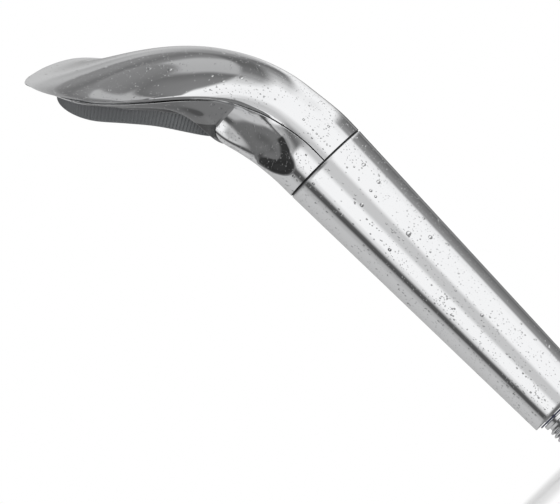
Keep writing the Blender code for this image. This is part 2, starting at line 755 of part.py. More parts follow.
def feed_elbow():
    """The bent pipe from the coupler in the neck to the chamber's port."""
    end = Vector(face_point(-PORT_REACH - GAP, -PORT_DEPTH))
    along = Vector((sin(FACE_TILT), cos(FACE_TILT)))
    corner = Vector((0, end.y - end.x * along.y / along.x))
    low = Vector((0, COUPLER_WEB / 2 + GAP))
    reach = 0.85 * min((end - corner).length, (corner - low).length)
    first, last = corner - Vector((0, reach)), corner + along * reach
    bend = [first * (1 - t) ** 2 + corner * 2 * t * (1 - t) + last * t * t
            for t in np.linspace(0, 1, 10)]
    path = [low] + bend + [end]
    points = [(0, -forward, SEAM + height) for forward, height in path]
    elbow = add_object("feed_elbow", rod_mesh("feed_elbow", points, ELBOW_RADIUS), "tube_plastic")
    longer = [points[0][:2] + (points[0][2] - 5 * MM,)] + points[1:-1] \
        + [tuple(Vector(points[-1]) + Vector((0, -along.x, along.y)) * 5 * MM)]
    cut(elbow, add_cutter("elbow_bore", rod_mesh("elbow_bore", longer, ELBOW_BORE)))
    smooth(elbow.data, 40)


# ---------------------------------------------------------------- the handle
def sleeve_radius(height):
    share = (height - HANDLE_END) / HANDLE_LENGTH
    return HANDLE_END_RADIUS + (HANDLE_TOP_RADIUS - HANDLE_END_RADIUS) * share


def sleeve_inner(height):
    return sleeve_radius(height) - SLEEVE_WALL


def handle():
    top, low = SLEEVE_TOP, HANDLE_END
    edge = 0.35 * MM
    turned("handle_sleeve", "chrome",
           [(sleeve_radius(top) - edge, top), (sleeve_radius(top), top - edge),
            (sleeve_radius(low), low + edge), (sleeve_radius(low) - edge, low),
            (sleeve_inner(low), low), (sleeve_inner(top), top)], segments=ROUND_SEGMENTS)
    outer = NECK_RADIUS - SEAM_RECESS
    turned("seam_gasket", "seal",
           ring_profile(outer, outer - SEAM_GASKET_WIDTH, SEAM_GASKET_THICKNESS),
           SEAM - SEAM_GASKET_THICKNESS / 2, ROUND_SEGMENTS)


def neck_joint():
    """The collar that carries the head on the sleeve, and the coupler inside it."""
    low, high = SEAM - COLLAR_DEPTH, SEAM + COLLAR_DEPTH
    outer = min(sleeve_inner(low), NECK_RADIUS - HEAD_WALL) - COLLAR_GAP
    inner = outer - COLLAR_WALL
    web = COUPLER_WEB / 2
    turned("neck_collar", "inner_plastic", ring_profile(outer, inner, high - low), low,
           ROUND_SEGMENTS)
    bore, elbow_bore = TUBE_RADIUS + GAP, ELBOW_RADIUS + GAP
    body = bore + COUPLER_WALL
    flange = inner - GAP
    middle = COUPLER_HALF / 2
    turned("tube_coupler", "inner_plastic",
           [(body, COUPLER_HALF), (body, web), (flange, web), (flange, -web), (body, -web),
            (body, -COUPLER_HALF), (bore, -COUPLER_HALF)] + groove_in_bore(bore, -middle)
           + [(bore, -web), (ELBOW_BORE, -web), (ELBOW_BORE, web), (elbow_bore, web)]
           + groove_in_bore(elbow_bore, middle) + [(elbow_bore, COUPLER_HALF)], SEAM)
    o_ring("coupler_tube_seal", TUBE_RADIUS, bore + SEAL_GROOVE, SEAM - middle)
    o_ring("coupler_elbow_seal", ELBOW_RADIUS, elbow_bore + SEAL_GROOVE, SEAM + middle)


def groove_in_bore(bore, height):
    """Profile points of a seal's groove, going up a bore."""
    half = SEAL_GROOVE_WIDTH / 2
    return [(bore, height - half), (bore + SEAL_GROOVE, height - half),
            (bore + SEAL_GROOVE, height + half), (bore, height + half)]


def water_way():
    low = HANDLE_END + PLUG_LENGTH + GAP + SOCKET_FLANGE + GAP
    high = SEAM - COUPLER_WEB / 2 - GAP
    turned("water_tube", "tube_plastic", ring_profile(TUBE_RADIUS, TUBE_BORE, high - low), low)
    support_low = SUPPORT_HEIGHT - SUPPORT_THICKNESS / 2
    support_high = SUPPORT_HEIGHT + SUPPORT_THICKNESS / 2
    turned("tube_support_ring", "inner_plastic",
           [(sleeve_inner(support_high) - GAP, support_high),
            (sleeve_inner(support_low) - GAP, support_low),
            (TUBE_RADIUS + GAP, support_low), (TUBE_RADIUS + GAP, support_high)])


# ---------------------------------------------------------------- the inlet end
def end_plug():
    """The plug in the handle's end: it carries the swivel and the tube's socket."""
    low, high = HANDLE_END, HANDLE_END + PLUG_LENGTH
    bore_top = low + PLUG_BORE_LENGTH
    bore = STEM_RADIUS + RUN_GAP
    cup = sleeve_inner(bore_top) - GAP - PLUG_WALL
    turned("end_plug", "brass",
           [(sleeve_inner(high) - GAP, high), (sleeve_inner(low) - GAP, low), (bore, low),
            (bore, bore_top), (cup, bore_top), (cup, high)])
    socket_low = high + GAP
    spigot = cup - GAP
    way = TUBE_BORE
    flange_high = SOCKET_FLANGE
    bore = TUBE_RADIUS + GAP
    turned("tube_socket", "inner_plastic",
           [(bore + SOCKET_WALL, flange_high + SOCKET_LENGTH), (bore + SOCKET_WALL, flange_high),
            (sleeve_inner(socket_low) - GAP, flange_high), (sleeve_inner(socket_low) - GAP, 0),
            (spigot, 0), (spigot, -SOCKET_SPIGOT), (way, -SOCKET_SPIGOT), (way, flange_high),
            (bore, flange_high)] + groove_in_bore(bore, flange_high + SOCKET_LENGTH / 2)
           + [(bore, flange_high + SOCKET_LENGTH)], socket_low)
    o_ring("socket_seal", TUBE_RADIUS, bore + SEAL_GROOVE,
           socket_low + flange_high + SOCKET_LENGTH / 2)


def connector(swivel):
    """The swivelling inlet: G 1/2 thread, collar and a stem with two seal grooves."""
    thread, chamfer = THREAD_RADIUS, THREAD_CHAMFER
    collar_top = HANDLE_END - WASHER_THICKNESS - 2 * GAP
    groove = STEM_RADIUS - GROOVE_DEPTH
    half = GROOVE_WIDTH / 2
    clip_low = HANDLE_END + PLUG_BORE_LENGTH + GAP
    clip_groove = STEM_RADIUS - CLIP_GROOVE
    profile = [(STEM_RADIUS - 0.4 * MM, STEM_TOP), (STEM_RADIUS, STEM_TOP - 0.4 * MM),
               (STEM_RADIUS, clip_low + CLIP_THICKNESS + GAP),
               (clip_groove, clip_low + CLIP_THICKNESS + GAP), (clip_groove, clip_low - GAP),
               (STEM_RADIUS, clip_low - GAP)]
    for height in reversed(SWIVEL_SEAL_HEIGHTS):
        profile += [(STEM_RADIUS, height + half), (groove, height + half),
                    (groove, height - half), (STEM_RADIUS, height - half)]
    profile += [(STEM_RADIUS, collar_top), (thread, collar_top), (thread, chamfer),
                (thread - chamfer, 0), (INLET_BORE, 0), (INLET_BORE, valve_top()),
                (STEM_BORE, valve_top()), (STEM_BORE, STEM_TOP)]
    turned("swivel_connector", "brass", profile, segments=SWIVEL_SEGMENTS, parent=swivel)
    turned("thrust_washer", "tube_plastic",
           ring_profile(WASHER_RADIUS, STEM_RADIUS + RUN_GAP, WASHER_THICKNESS),
           HANDLE_END - WASHER_THICKNESS - GAP)
    for name, height in zip(("swivel_seal_low", "swivel_seal_high"), SWIVEL_SEAL_HEIGHTS):
        o_ring(name, groove, STEM_RADIUS + RUN_GAP, height, swivel)
    clip(clip_low, clip_groove + GAP, swivel)


def clip(low, inner, swivel):
    """The open spring ring that keeps the stem in the plug."""
    count = 26
    turns = [CLIP_OPENING / 2 + (2 * pi - CLIP_OPENING) * i / count for i in range(count + 1)]
    outer = inner + CLIP_WIDTH
    outline = [(outer * cos(t), outer * sin(t)) for t in turns] \
        + [(inner * cos(t), inner * sin(t)) for t in reversed(turns)]
    add_object("retaining_clip", sheet_mesh(
        "retaining_clip", [outline], low, low + CLIP_THICKNESS), "steel", swivel)


def seat_low():
    return MOUTH_DEPTH + STRAINER_THICKNESS + REGULATOR_THICKNESS + 2 * GAP


def poppet_low():
    """Underside of the valve's seal when it lies closed on its seat."""
    return seat_low() + SEAT_THICKNESS + GAP


def stop_low():
    return poppet_low() + POPPET_SEAL_THICKNESS + GAP + POPPET_THICKNESS + SPRING_LENGTH + 2 * GAP


def valve_top():
    """End of the wide bore: the spring's stop lies against this shoulder."""
    return stop_low() + STOP_THICKNESS + GAP


def valve(swivel):
    fit = INLET_BORE - GAP
    holes = [circle((ring * STRAINER_PITCH * cos(t), ring * STRAINER_PITCH * sin(t)),
                    STRAINER_HOLE, 6)
             for ring in (0, 1, 2) for t in np.linspace(0, 2 * pi, max(6 * ring, 1), False)]
    add_object("inlet_strainer", sheet_mesh(
        "inlet_strainer", [circle((0, 0), fit, SMALL_SEGMENTS)] + holes,
        MOUTH_DEPTH, MOUTH_DEPTH + STRAINER_THICKNESS), "steel", swivel)
    turned("flow_regulator", "valve_plastic", ring_profile(fit, REGULATOR_BORE, REGULATOR_THICKNESS),
           MOUTH_DEPTH + STRAINER_THICKNESS + GAP, parent=swivel)
    turned("valve_seat", "valve_plastic", ring_profile(fit, SEAT_BORE, SEAT_THICKNESS), seat_low(),
           parent=swivel)
    turned("spring_stop", "valve_plastic", ring_profile(fit, STOP_BORE, STOP_THICKNESS),
           stop_low(), parent=swivel)
    slide = add_empty("poppet_axis", (0, 0, poppet_low()), parent=swivel)
    turned("poppet_seal", "seal",
           ring_profile(POPPET_RADIUS, POPPET_STEM + GAP, POPPET_SEAL_THICKNESS), 0.0,
           parent=slide)
    base = POPPET_SEAL_THICKNESS + GAP
    turned("valve_poppet", "valve_plastic",
           [(0, base + POPPET_THICKNESS), (POPPET_RADIUS, base + POPPET_THICKNESS),
            (POPPET_RADIUS, base), (POPPET_STEM, base), (POPPET_STEM, -POPPET_STEM_LENGTH),
            (0, -POPPET_STEM_LENGTH)], 0.0, parent=slide)
    spring_low = poppet_low() + base + POPPET_THICKNESS + GAP
    coil(spring_low + SPRING_WIRE, SPRING_LENGTH - 2 * SPRING_WIRE, swivel)


def coil(low, length, parent):
    steps = 10 * SPRING_TURNS
    points = []
    for i in range(steps + 1):
        turn = 2 * pi * SPRING_TURNS * i / steps
        points.append((SPRING_RADIUS * cos(turn), SPRING_RADIUS * sin(turn),
                       low + length * i / steps))
    spring = add_object("valve_spring", rod_mesh("valve_spring", points, SPRING_WIRE, 1),
                        "steel", parent)
    smooth(spring.data, 60)


def build():
    frame = add_empty("face_frame", (0, -FACE_FORWARD, SEAM + FACE_HEIGHT),
                      pi / 2 + FACE_TILT)
    head_shells(face_recesses(frame))
    face_stack(frame)
    feed_elbow()
    handle()
    neck_joint()
    water_way()
    end_plug()
    swivel = add_empty("swivel_axis", (0, 0, 0))
    connector(swivel)
    valve(swivel)
    bpy.context.view_layer.update()


clear_scene()
PARTS = new_collection("handheld_bath_sprayer")
CUTTERS = new_collection("cutters")
build()
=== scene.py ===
"""Handheld bath sprayer: the finish of every surface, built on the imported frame.

Lengths are in metres in the part's own frame: +Z runs up the handle from the hose inlet,
the head leans and sprays toward -Y, and the plane X = 0 is the plane of symmetry.
"""

from math import ceil, cos, pi, radians, sin, sqrt

import bpy
import numpy as np
from bpy.props import FloatProperty, FloatVectorProperty, IntProperty, PointerProperty
from mathutils import Matrix, Vector


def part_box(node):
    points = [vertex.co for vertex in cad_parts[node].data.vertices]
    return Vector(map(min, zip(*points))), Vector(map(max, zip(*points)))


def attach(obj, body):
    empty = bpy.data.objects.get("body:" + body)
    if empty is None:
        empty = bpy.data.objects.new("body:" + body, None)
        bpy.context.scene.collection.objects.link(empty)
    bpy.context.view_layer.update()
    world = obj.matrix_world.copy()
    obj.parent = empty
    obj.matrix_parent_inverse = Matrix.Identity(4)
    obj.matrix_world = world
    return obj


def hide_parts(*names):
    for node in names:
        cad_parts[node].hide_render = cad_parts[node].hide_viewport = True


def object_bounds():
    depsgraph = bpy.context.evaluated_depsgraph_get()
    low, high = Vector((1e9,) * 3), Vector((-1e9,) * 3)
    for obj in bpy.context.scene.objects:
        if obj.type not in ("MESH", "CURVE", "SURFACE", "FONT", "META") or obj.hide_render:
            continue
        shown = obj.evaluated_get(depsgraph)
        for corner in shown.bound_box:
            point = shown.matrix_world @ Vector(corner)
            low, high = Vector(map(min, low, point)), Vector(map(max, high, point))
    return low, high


bl_info = {
    "name": "Handheld bath sprayer",
    "version": (1, 0, 0),
    "blender": (4, 5, 0),
    "location": "View3D > Sidebar > Sprayer",
    "description": "Builds the visible surfaces and finishes of a handheld bath sprayer",
    "category": "Object",
}

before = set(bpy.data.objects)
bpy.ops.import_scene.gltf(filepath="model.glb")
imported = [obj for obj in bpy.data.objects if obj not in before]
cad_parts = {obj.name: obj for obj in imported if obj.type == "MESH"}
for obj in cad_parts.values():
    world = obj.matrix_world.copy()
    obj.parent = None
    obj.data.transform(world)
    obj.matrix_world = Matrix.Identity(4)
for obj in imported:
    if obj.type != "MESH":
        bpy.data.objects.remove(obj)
CAD_BOX = [list(corner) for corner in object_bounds()]

MM = 0.001


# ------------------------------------------------------------------ places from the frame
def low(node):
    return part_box(node)[0]


def high(node):
    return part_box(node)[1]


SEAM = (low("seam_gasket").z + high("seam_gasket").z) / 2
SEAM_HALF = 0.3 * MM             # half the shadow line between the head and the handle
NECK_RADIUS = (high("handle_sleeve").x - low("handle_sleeve").x) / 2
HANDLE_LOW, HANDLE_HIGH = low("handle_sleeve").z, SEAM - SEAM_HALF
HANDLE_LOW_RADIUS = 13.5 * MM    # at its thin end

# the head's lines: (height above the seam, distance forward of the handle's axis), in mm
RIM_LINE = ((0, -6.6), (14, -6.0), (25, -3.4), (33, -0.4), (43.3, 4.4), (53.8, 13.0),
            (62.5, 22.4), (72.5, 32.7), (84.7, 43.0), (91.3, 47.9), (95.5, 51.0),
            (98.5, 53.5), (102, 58.0))
RIDGE_LINE = ((0, -17.5), (9, -17.5), (20, -16.1), (33, -13.8), (45.2, -9.2), (54.7, -3.6),
              (63.8, 3.6), (73.8, 14.6), (81.8, 26.2), (88.3, 37.4), (93, 45.4),
              (97.5, 52.2), (102, 57.7))
FRONT_LINE = ((0, 17.5), (9, 17.7), (16, 18.6), (25, 20.3), (32, 22.0), (38, 22.2),
              (46, 19.6), (54, 20.8), (60, 25.4), (67.6, 32.3), (80, 42.7), (90, 50.9),
              (96, 55.8), (99, 58.6), (102, 61.6))
RIM_WIDTHS = ((0, 16.2), (20, 17.0), (30, 18.0), (40, 20.2), (50, 23.9), (60, 28.6),
              (70, 33.4), (78, 35.6))
HEAD_HEIGHT = 101.8 * MM
RIM_TIP_POWERS = (3.3, 2.5)
PARTING_RISE = 6.6 * MM          # of the parting line over the neck's middle, at the seam
NECK_BLEND = (9.0 * MM, 46.0 * MM)      # where the round neck starts to turn into the head, and ends
LIP_THICKNESS = 1.2 * MM
BACK_TOP_GAP = 0.15 * MM         # from the head's height down to the back shell's last section
UNDER_TOP_GAP = 0.4 * MM         # and to the under shell's highest
TIP_REACH = 13 * MM              # the sections lie closer together over this last stretch
SCOOP_DEPTH = 2.6 * MM
SCOOP_END = (21.0 * MM, 16.0 * MM)      # where its round end starts, and how long that is
SCOOP_FADE = (38.0 * MM, 54.0 * MM)
SCOOP_BORDER = 0.5               # share of its half-width where its floor starts to rise
# its middle and half-width, in hundredths of the way from the parting line to the front
SCOOP_MIDDLE = ((0, 32), (5, 36), (12, 41), (20, 42), (30, 39), (45, 35), (60, 33))
SCOOP_REACH = ((0, 25), (12, 27), (20, 28), (30, 27), (45, 25), (60, 24))
# a half-section's points over the back, down the side and across the front, and their later step
TOP_COUNT, SIDE_COUNT, FLAT_COUNT = 60, 56, 24
SECTION_STEP = 0.3 * MM
BLUR_TIMES, NECK_BLUR_TIMES = 4, 150

# the spray face, in its own frame: x across, y toward the tip, z out along the spray
FACE_TILT = radians(31.5)
FACE_HEIGHT = 67.0 * MM
FACE_FORWARD = 32.5 * MM
FACE_HALF_WIDTH = 30.0 * MM
FACE_WIDEST = 8.8 * MM
FACE_FRONT = 26.5 * MM
FACE_REAR = 44.6 * MM
FACE_FRONT_POWERS = (1.9, 1.6)
FACE_REAR_POWERS = (1.5, 1.8)
OPENING_REACH = 12.0 * MM        # the under shell is open so far to both sides of the face frame
BEZEL_WIDTH = 2.0 * MM
BEZEL_DEPTH = 3.5 * MM
BEZEL_EDGE = 0.7 * MM
BEZEL_GROOVE = 0.25 * MM
BEZEL_PROUD = 0.5 * MM           # stands so far above the shell near the tip
BEZEL_DIP = (1.5 * MM, 14.0 * MM)         # how deep, and reached so far behind the middle
BEZEL_CLIMB = (14.0 * MM, 20.0 * MM, 41.0 * MM)      # how high, and from where to where
BEZEL_REAR_DEPTH = (3.0 * MM, 14.0 * MM, 30.0 * MM)  # more depth behind the middle
BEZEL_TIP_DEPTH = (1.5 * MM, 8.0 * MM, 24.0 * MM)    # less depth toward the tip
PLATE_LINE = ((-38, 8.8), (-33, 8.0), (-23, 6.1), (-13.5, 5.2), (-3, 6.0), (10, 7.9), (22, 8.6),
              (36, 8.7))                  # (place toward the tip, height of the plate's top), in mm
PLATE_FOOT = 3.0 * MM
PLATE_THICKNESS = 1.1 * MM
PLATE_DRAFT = 1.0 * MM
PLATE_EDGE = 0.8 * MM
PLATE_GAP = 0.3 * MM
NOZZLE_PITCH = 6.0 * MM
NOZZLE_EDGE = 7.3 * MM
NOZZLE_BASE_RADIUS = 1.30 * MM
NOZZLE_TIP_RADIUS = 0.80 * MM
NOZZLE_RISE = 0.5 * MM
NOZZLE_GAP = 0.3 * MM
MAT_THICKNESS = 1.0 * MM

# the hose inlet: pipe thread, collar and stem
THREAD_DEPTH = 1.16 * MM
THREAD_LOW, THREAD_HIGH = 0.9 * MM, 9.0 * MM
INLET_BORE, INLET_STEM, STEM_BORE = 6.6 * MM, 9.0 * MM, 5.0 * MM
COLLAR_LOW = 9.9 * MM
INLET_GAP = 0.3 * MM
SEAL_GROOVES = (17.5 * MM, 24.0 * MM)
SEAL_GROOVE_HALF, SEAL_GROOVE_DEPTH = 1.1 * MM, 1.3 * MM


# ------------------------------------------------------------------ settings
def length(name, description, value, least, most):
    """A length's property: its value and limits are given in millimetres."""
    return FloatProperty(name=name, description=description, default=value * MM, min=least * MM,
                         max=most * MM, subtype='DISTANCE', unit='LENGTH')


def colour(name, description, value):
    return FloatVectorProperty(name=name, description=description, default=value, size=3,
                               min=0.0, max=1.0, subtype='COLOR')


class SprayerShapes(bpy.types.PropertyGroup):
    """Sizes of the fine details that a user may want to change."""
    groove: length("Shell groove", "Width of the shadow line between the head's shells", 0.7, 0.3, 2)
    edge_radius: length("Edge radius", "Rounding of the shells' and the handle's edges", 0.35, 0.1, 1)
    wall: length("Wall", "Thickness of the plated shells", 1.2, 0.6, 2)
    flute_pitch: length("Flute pitch", "Distance between the flutes round the spray plate", 1.4, 0.8, 4)
    flute_depth: length("Flute depth", "Depth of the flutes round the spray plate", 0.5, 0.0, 0.8)
    nozzle_bore: length("Nozzle bore", "Radius of the hole in each nozzle", 0.42, 0.2, 0.7)
    thread_pitch: length("Thread pitch", "Pitch of the G 1/2 thread", 1.814, 1, 3)
    head_rows: IntProperty(
        name="Head rows", description="Sections along the head", default=180, min=60, max=320)


class SprayerColours(bpy.types.PropertyGroup):
    """Colours of the finishes."""
    chrome: colour("Chrome", "Tint of the polished plating", (0.91, 0.915, 0.925))
    steel: colour("Steel", "Tint of the stainless pieces", (0.58, 0.60, 0.62))
    plate: colour("Spray plate", "Satin grey of the fluted spray plate", (0.15, 0.156, 0.162))
    silicone: colour("Nozzles", "Soft dark silicone of the nozzles", (0.045, 0.047, 0.05))
    rubber: colour("Seals", "Black rubber of the seals", (0.012, 0.012, 0.013))
    moulding: colour("Inner mouldings", "Grey plastic inside", (0.38, 0.385, 0.39))
    tube: colour("Tubes", "Pale plastic of the water way", (0.62, 0.63, 0.62))
    valve: colour("Valve", "Blue plastic of the valve pieces", (0.03, 0.11, 0.33))
    ring: colour("Swivel ring", "Navy plastic of the ring at the handle's end", (0.015, 0.022, 0.09))


class SprayerStage(bpy.types.PropertyGroup):
    """Floor and light."""
    floor_drop: length("Floor drop", "Distance of the floor below the inlet", 6, 0, 200)
    floor_colour: colour("Floor", "Colour of the floor", (0.93, 0.93, 0.93))
    key: FloatProperty(
        name="Key light", description="Power of the large soft lamp",
        default=3.0, min=0.0, max=50, subtype='POWER', unit='POWER')
    sky: FloatProperty(
        name="Surroundings", description="Strength of the even light all round",
        default=0.75, min=0.0, max=3)


# ------------------------------------------------------------------ lines of the head
def ease(value, start, end):
    t = np.clip((value - start) / (end - start), 0.0, 1.0)
    return t * t * (3 - 2 * t)


class Line:
    """A smooth line through stations in millimetres, softened over a few millimetres."""
    step = 0.25
    spread = 1.5

    def __init__(self, stations):
        heights, distances = (np.array(v, float) for v in zip(*stations))
        slopes = np.diff(distances) / np.diff(heights)
        tangents = np.concatenate((slopes[:1], (slopes[1:] + slopes[:-1]) / 2, slopes[-1:]))
        self.at = np.arange(heights[0] - 20, heights[-1] + 20, self.step)
        at = np.clip(self.at, heights[0], heights[-1])
        i = np.clip(np.searchsorted(heights, at, side='right') - 1, 0, len(slopes) - 1)
        span = heights[i + 1] - heights[i]
        t = (at - heights[i]) / span
        curve = ((1 + 2 * t) * (1 - t) ** 2 * distances[i] + t * (1 - t) ** 2 * span * tangents[i]
                 + t * t * (3 - 2 * t) * distances[i + 1]
                 + t * t * (t - 1) * span * tangents[i + 1])
        curve += np.where(self.at < heights[0], (self.at - heights[0]) * tangents[0], 0.0)
        curve += np.where(self.at > heights[-1], (self.at - heights[-1]) * tangents[-1], 0.0)
        reach = np.arange(-5 * self.spread, 5 * self.spread + self.step, self.step)
        weights = np.exp(-(reach / self.spread) ** 2 / 2)
        padded = np.pad(curve, len(reach) // 2, mode='edge')
        self.values = np.convolve(padded, weights / weights.sum(), mode='valid')[:len(self.at)]

    def __call__(self, height):
        return float(self.along(height))

    def along(self, heights):
        return np.interp(heights / MM, self.at, self.values) * MM

    def stretch(self, height):
        """How much longer a level cut makes a wall look, for this line's slope."""
        reach = 0.5 * MM
        slope = (self(height + reach) - self(height - reach)) / (2 * reach)
        return sqrt(1 + slope * slope)


rim_forward, ridge_forward, front_forward = Line(RIM_LINE), Line(RIDGE_LINE), Line(FRONT_LINE)
rim_growth = Line(RIM_WIDTHS)
plate_top = Line(PLATE_LINE).along


def leaf(distance, length, powers):
    """Half-width, as a share, at a distance from the widest place of a leaf's end."""
    share = np.minimum(np.abs(distance) / length, 1.0)
    return np.maximum(1 - share ** powers[0], 0.0) ** (1 / powers[1])


def rim_half_width(height):
    """Half the head's width at a height: from the neck to the widest place, then the leaf's tip."""
    widest, width = (value * MM for value in RIM_WIDTHS[-1])
    beyond = width * float(leaf(height - widest, HEAD_HEIGHT - widest, RIM_TIP_POWERS))
    return beyond if height >= widest else min(rim_growth(height), width)


def neck_share(height):
    """How much of the section is still the round neck."""
    return 1 - float(ease(height, *NECK_BLEND))


def scoop(height, share):
    """Depth of the concave panel in the head's side, at a share of the way to the front."""
    middle, reach = (np.interp(height / MM, *zip(*line)) / 100
                     for line in (SCOOP_MIDDLE, SCOOP_REACH))
    short = max(SCOOP_END[0] - height, 0.0) / SCOOP_END[1]
    away = np.hypot((share - middle) / reach, short)
    return SCOOP_DEPTH * (1 - ease(away, SCOOP_BORDER, 1.0)) * (1 - ease(height, *SCOOP_FADE))


def hollowed(points, depth):
    """Points of a half-section moved inward, square to it, by a depth at each."""
    along = np.gradient(points, axis=0)
    inward = np.stack((-along[:, 1], along[:, 0]), 1)
    inward = inward / np.maximum(np.hypot(*inward.T), 1e-9)[:, None]
    return points + inward * depth[:, None]


def arch_power(height):
    """How pointed the back's arch is: rounder at the neck, steeper toward the tip."""
    return 0.55 + 1.05 * float(ease(height, 20 * MM, 88 * MM))


def face_share(along, inset):
    """Half-width of the face at a place along it, as a share of its widest."""
    away = along - FACE_WIDEST
    front = leaf(away, FACE_FRONT - inset, FACE_FRONT_POWERS)
    rear = leaf(away, FACE_REAR - inset, FACE_REAR_POWERS)
    return np.where(away >= 0, front, rear)


def flat_half_width(height, width):
    """Half-width of the flat front that carries the face, within the head's own width."""
    along = (height - FACE_HEIGHT) / cos(FACE_TILT)
    bezel = FACE_HALF_WIDTH * float(face_share(along, 0.0))
    return min(max(bezel + 1.0 * MM, 0.42 * width), width - 1.5 * MM, 0.93 * width)


def half_section(height):
    """Outline (x, forward) at a height, from the ridge round one side to the front."""
    ridge, front, rim = ridge_forward(height), front_forward(height), rim_forward(height)
    width = rim_half_width(height)
    neck = neck_share(height)
    flat = flat_half_width(height, width)
    middle, radius = (front + ridge) / 2, (front - ridge) / 2
    start = np.arcsin(PARTING_RISE / NECK_RADIUS)
    turn = pi / 2 * (1 - np.arange(TOP_COUNT) / TOP_COUNT)
    angle = start + (pi / 2 - start) * turn / (pi / 2)
    around = np.stack((radius * np.cos(angle), middle - radius * np.sin(angle)), 1)
    arch = np.stack((width * np.cos(turn),
                     rim + (ridge - rim) * np.sin(turn) ** (2 * arch_power(height))), 1)
    top = arch + (around - arch) * neck
    count = SIDE_COUNT + FLAT_COUNT
    step = np.arange(count + 1)
    angle = start - (pi / 2 + start) * step / count
    around = np.stack((radius * np.cos(angle), middle - radius * np.sin(angle)), 1)
    share = np.minimum(step / SIDE_COUNT, 1.0)
    beyond = np.maximum(step - SIDE_COUNT, 0) / FLAT_COUNT
    wall = np.stack(((width + (flat - width) * share ** 0.72) * (1 - beyond),
                     rim + (front - rim) * share ** 1.35), 1)
    wall[step > SIDE_COUNT, 0] = flat * (1 - beyond[step > SIDE_COUNT])
    bottom = wall + (around - wall) * neck
    bottom = hollowed(bottom, scoop(height, step / count))
    return np.concatenate((top, bottom))


def run_length(points):
    return np.concatenate(([0.0], np.cumsum(np.hypot(*np.diff(points, axis=0).T))))


def resample(points, places):
    run = run_length(points)
    return np.stack([np.interp(places, run, points[:, k]) for k in (0, 1)], 1)


def blurred(points, times):
    """A half-section with its corners softened, together with its mirror image."""
    edge = min(times + 1, len(points) - 1)
    mirrored = np.concatenate((points[edge:0:-1] * (-1, 1), points,
                               points[-2:-edge - 2:-1] * (-1, 1)))
    for _ in range(times):
        mirrored[1:-1] = mirrored[:-2] / 4 + mirrored[1:-1] / 2 + mirrored[2:] / 4
    return mirrored[edge:edge + len(points)]


def soft_section(height):
    """The half-section with its corners softened, and the length run to the rim."""
    points = half_section(height)
    run = run_length(points)
    count = max(int(run[-1] / SECTION_STEP), 24)
    places = np.linspace(0, run[-1], count + 1)
    even = resample(points, places)
    soft = blurred(even, BLUR_TIMES)
    past = run_length(even) - run[TOP_COUNT]
    neck = neck_share(height)
    share = ease(past, 1 * MM, 7 * MM)[:, None] * min(8 * neck * (1 - neck), 1.0)
    soft = soft + (blurred(even, NECK_BLUR_TIMES) - soft) * share
    soft[0, 0] = soft[-1, 0] = 0.0
    return soft, run[TOP_COUNT] / run[-1]


def parting_forward(height):
    """Where the two shells part, seen from the side."""
    rim_point = half_section(height)[TOP_COUNT]
    return rim_point[1] + LIP_THICKNESS * (1 - neck_share(height)) * rim_forward.stretch(height)


def crossing(points, forward):
    """Length run along a section to where it reaches a distance forward."""
    run = run_length(points)
    beyond = np.nonzero(points[:, 1] >= forward)[0]
    beyond = beyond[beyond > len(points) // 4]
    if len(beyond) == 0:
        return run[-1]
    i = max(int(beyond[0]), 1)
    rise = points[i, 1] - points[i - 1, 1]
    share = (forward - points[i - 1, 1]) / rise if rise > 1e-9 else 1.0
    return run[i - 1] + (run[i] - run[i - 1]) * min(max(share, 0.0), 1.0)


def head_heights(rows, top):
    """Heights from the neck to the tip, closer together over the last of it."""
    last = top - TIP_REACH
    count = rows // 4
    even = np.linspace(SEAM_HALF, last, rows - count, endpoint=False)
    return np.concatenate((even, last + (top - last) * np.sin(pi / 2 * np.arange(count + 1) / count)))


def under_shell_top(groove):
    """Height where the parting line runs out at the front of the head."""
    height = HEAD_HEIGHT - UNDER_TOP_GAP
    least = 0.3 * MM
    while (front_forward(height) - parting_forward(height)
           < groove * rim_forward.stretch(height) + least):
        height -= 0.1 * MM
    return height


def rolled(points, radius, steps=4):
    """A section whose last point rolls inward, so that the shell's edge is round."""
    direction = points[-1] - points[-2]
    direction = direction / max(np.hypot(*direction), 1e-12)
    inward = np.array((-direction[1], direction[0]))
    if inward[0] > 0:
        inward = -inward
    last = points[-1] - direction * radius
    turns = pi / 2 * np.arange(1, steps + 1) / steps
    arc = [last + direction * radius * sin(t) + inward * radius * (1 - cos(t)) for t in turns]
    return np.concatenate((points[:-1], arc))


# ------------------------------------------------------------------ outline of the spray face
def face_outline(inset, count):
    """Points of the leaf-shaped outline, evenly spaced, from the end near the tip."""
    turn = 2 * pi * np.arange(4001) / 4000
    length = np.where(np.cos(turn) >= 0, FACE_FRONT, FACE_REAR) - inset
    along = FACE_WIDEST + length * np.cos(turn)
    side = (FACE_HALF_WIDTH - inset) * face_share(along, inset) * np.sign(np.sin(turn))
    points = np.stack((side, along), 1)
    run = run_length(points)
    return resample(points, np.linspace(0, run[-1], count, endpoint=False))


def outline_length(inset):
    points = face_outline(inset, 600)
    return float(np.hypot(*(points - np.roll(points, 1, axis=0)).T).sum())


def nozzle_places():
    """A ring of nozzles along the outline, and staggered rows inside it."""
    count = int(round(outline_length(NOZZLE_EDGE) / NOZZLE_PITCH))
    places = [tuple(p) for p in face_outline(NOZZLE_EDGE, count)]
    inner = NOZZLE_EDGE + 0.86 * NOZZLE_PITCH
    row_step = NOZZLE_PITCH * sqrt(3) / 2
    reach = ceil((FACE_REAR + FACE_FRONT) / row_step)
    for row in range(-reach, reach + 1):
        y = FACE_WIDEST + row * row_step
        half = (FACE_HALF_WIDTH - inner) * float(face_share(y, inner))
        shift = 0.5 if row % 2 else 0.0
        for column in range(-reach, reach + 1):
            x = (column + shift) * NOZZLE_PITCH
            if abs(x) < half:
                places.append((x, y))
    return places


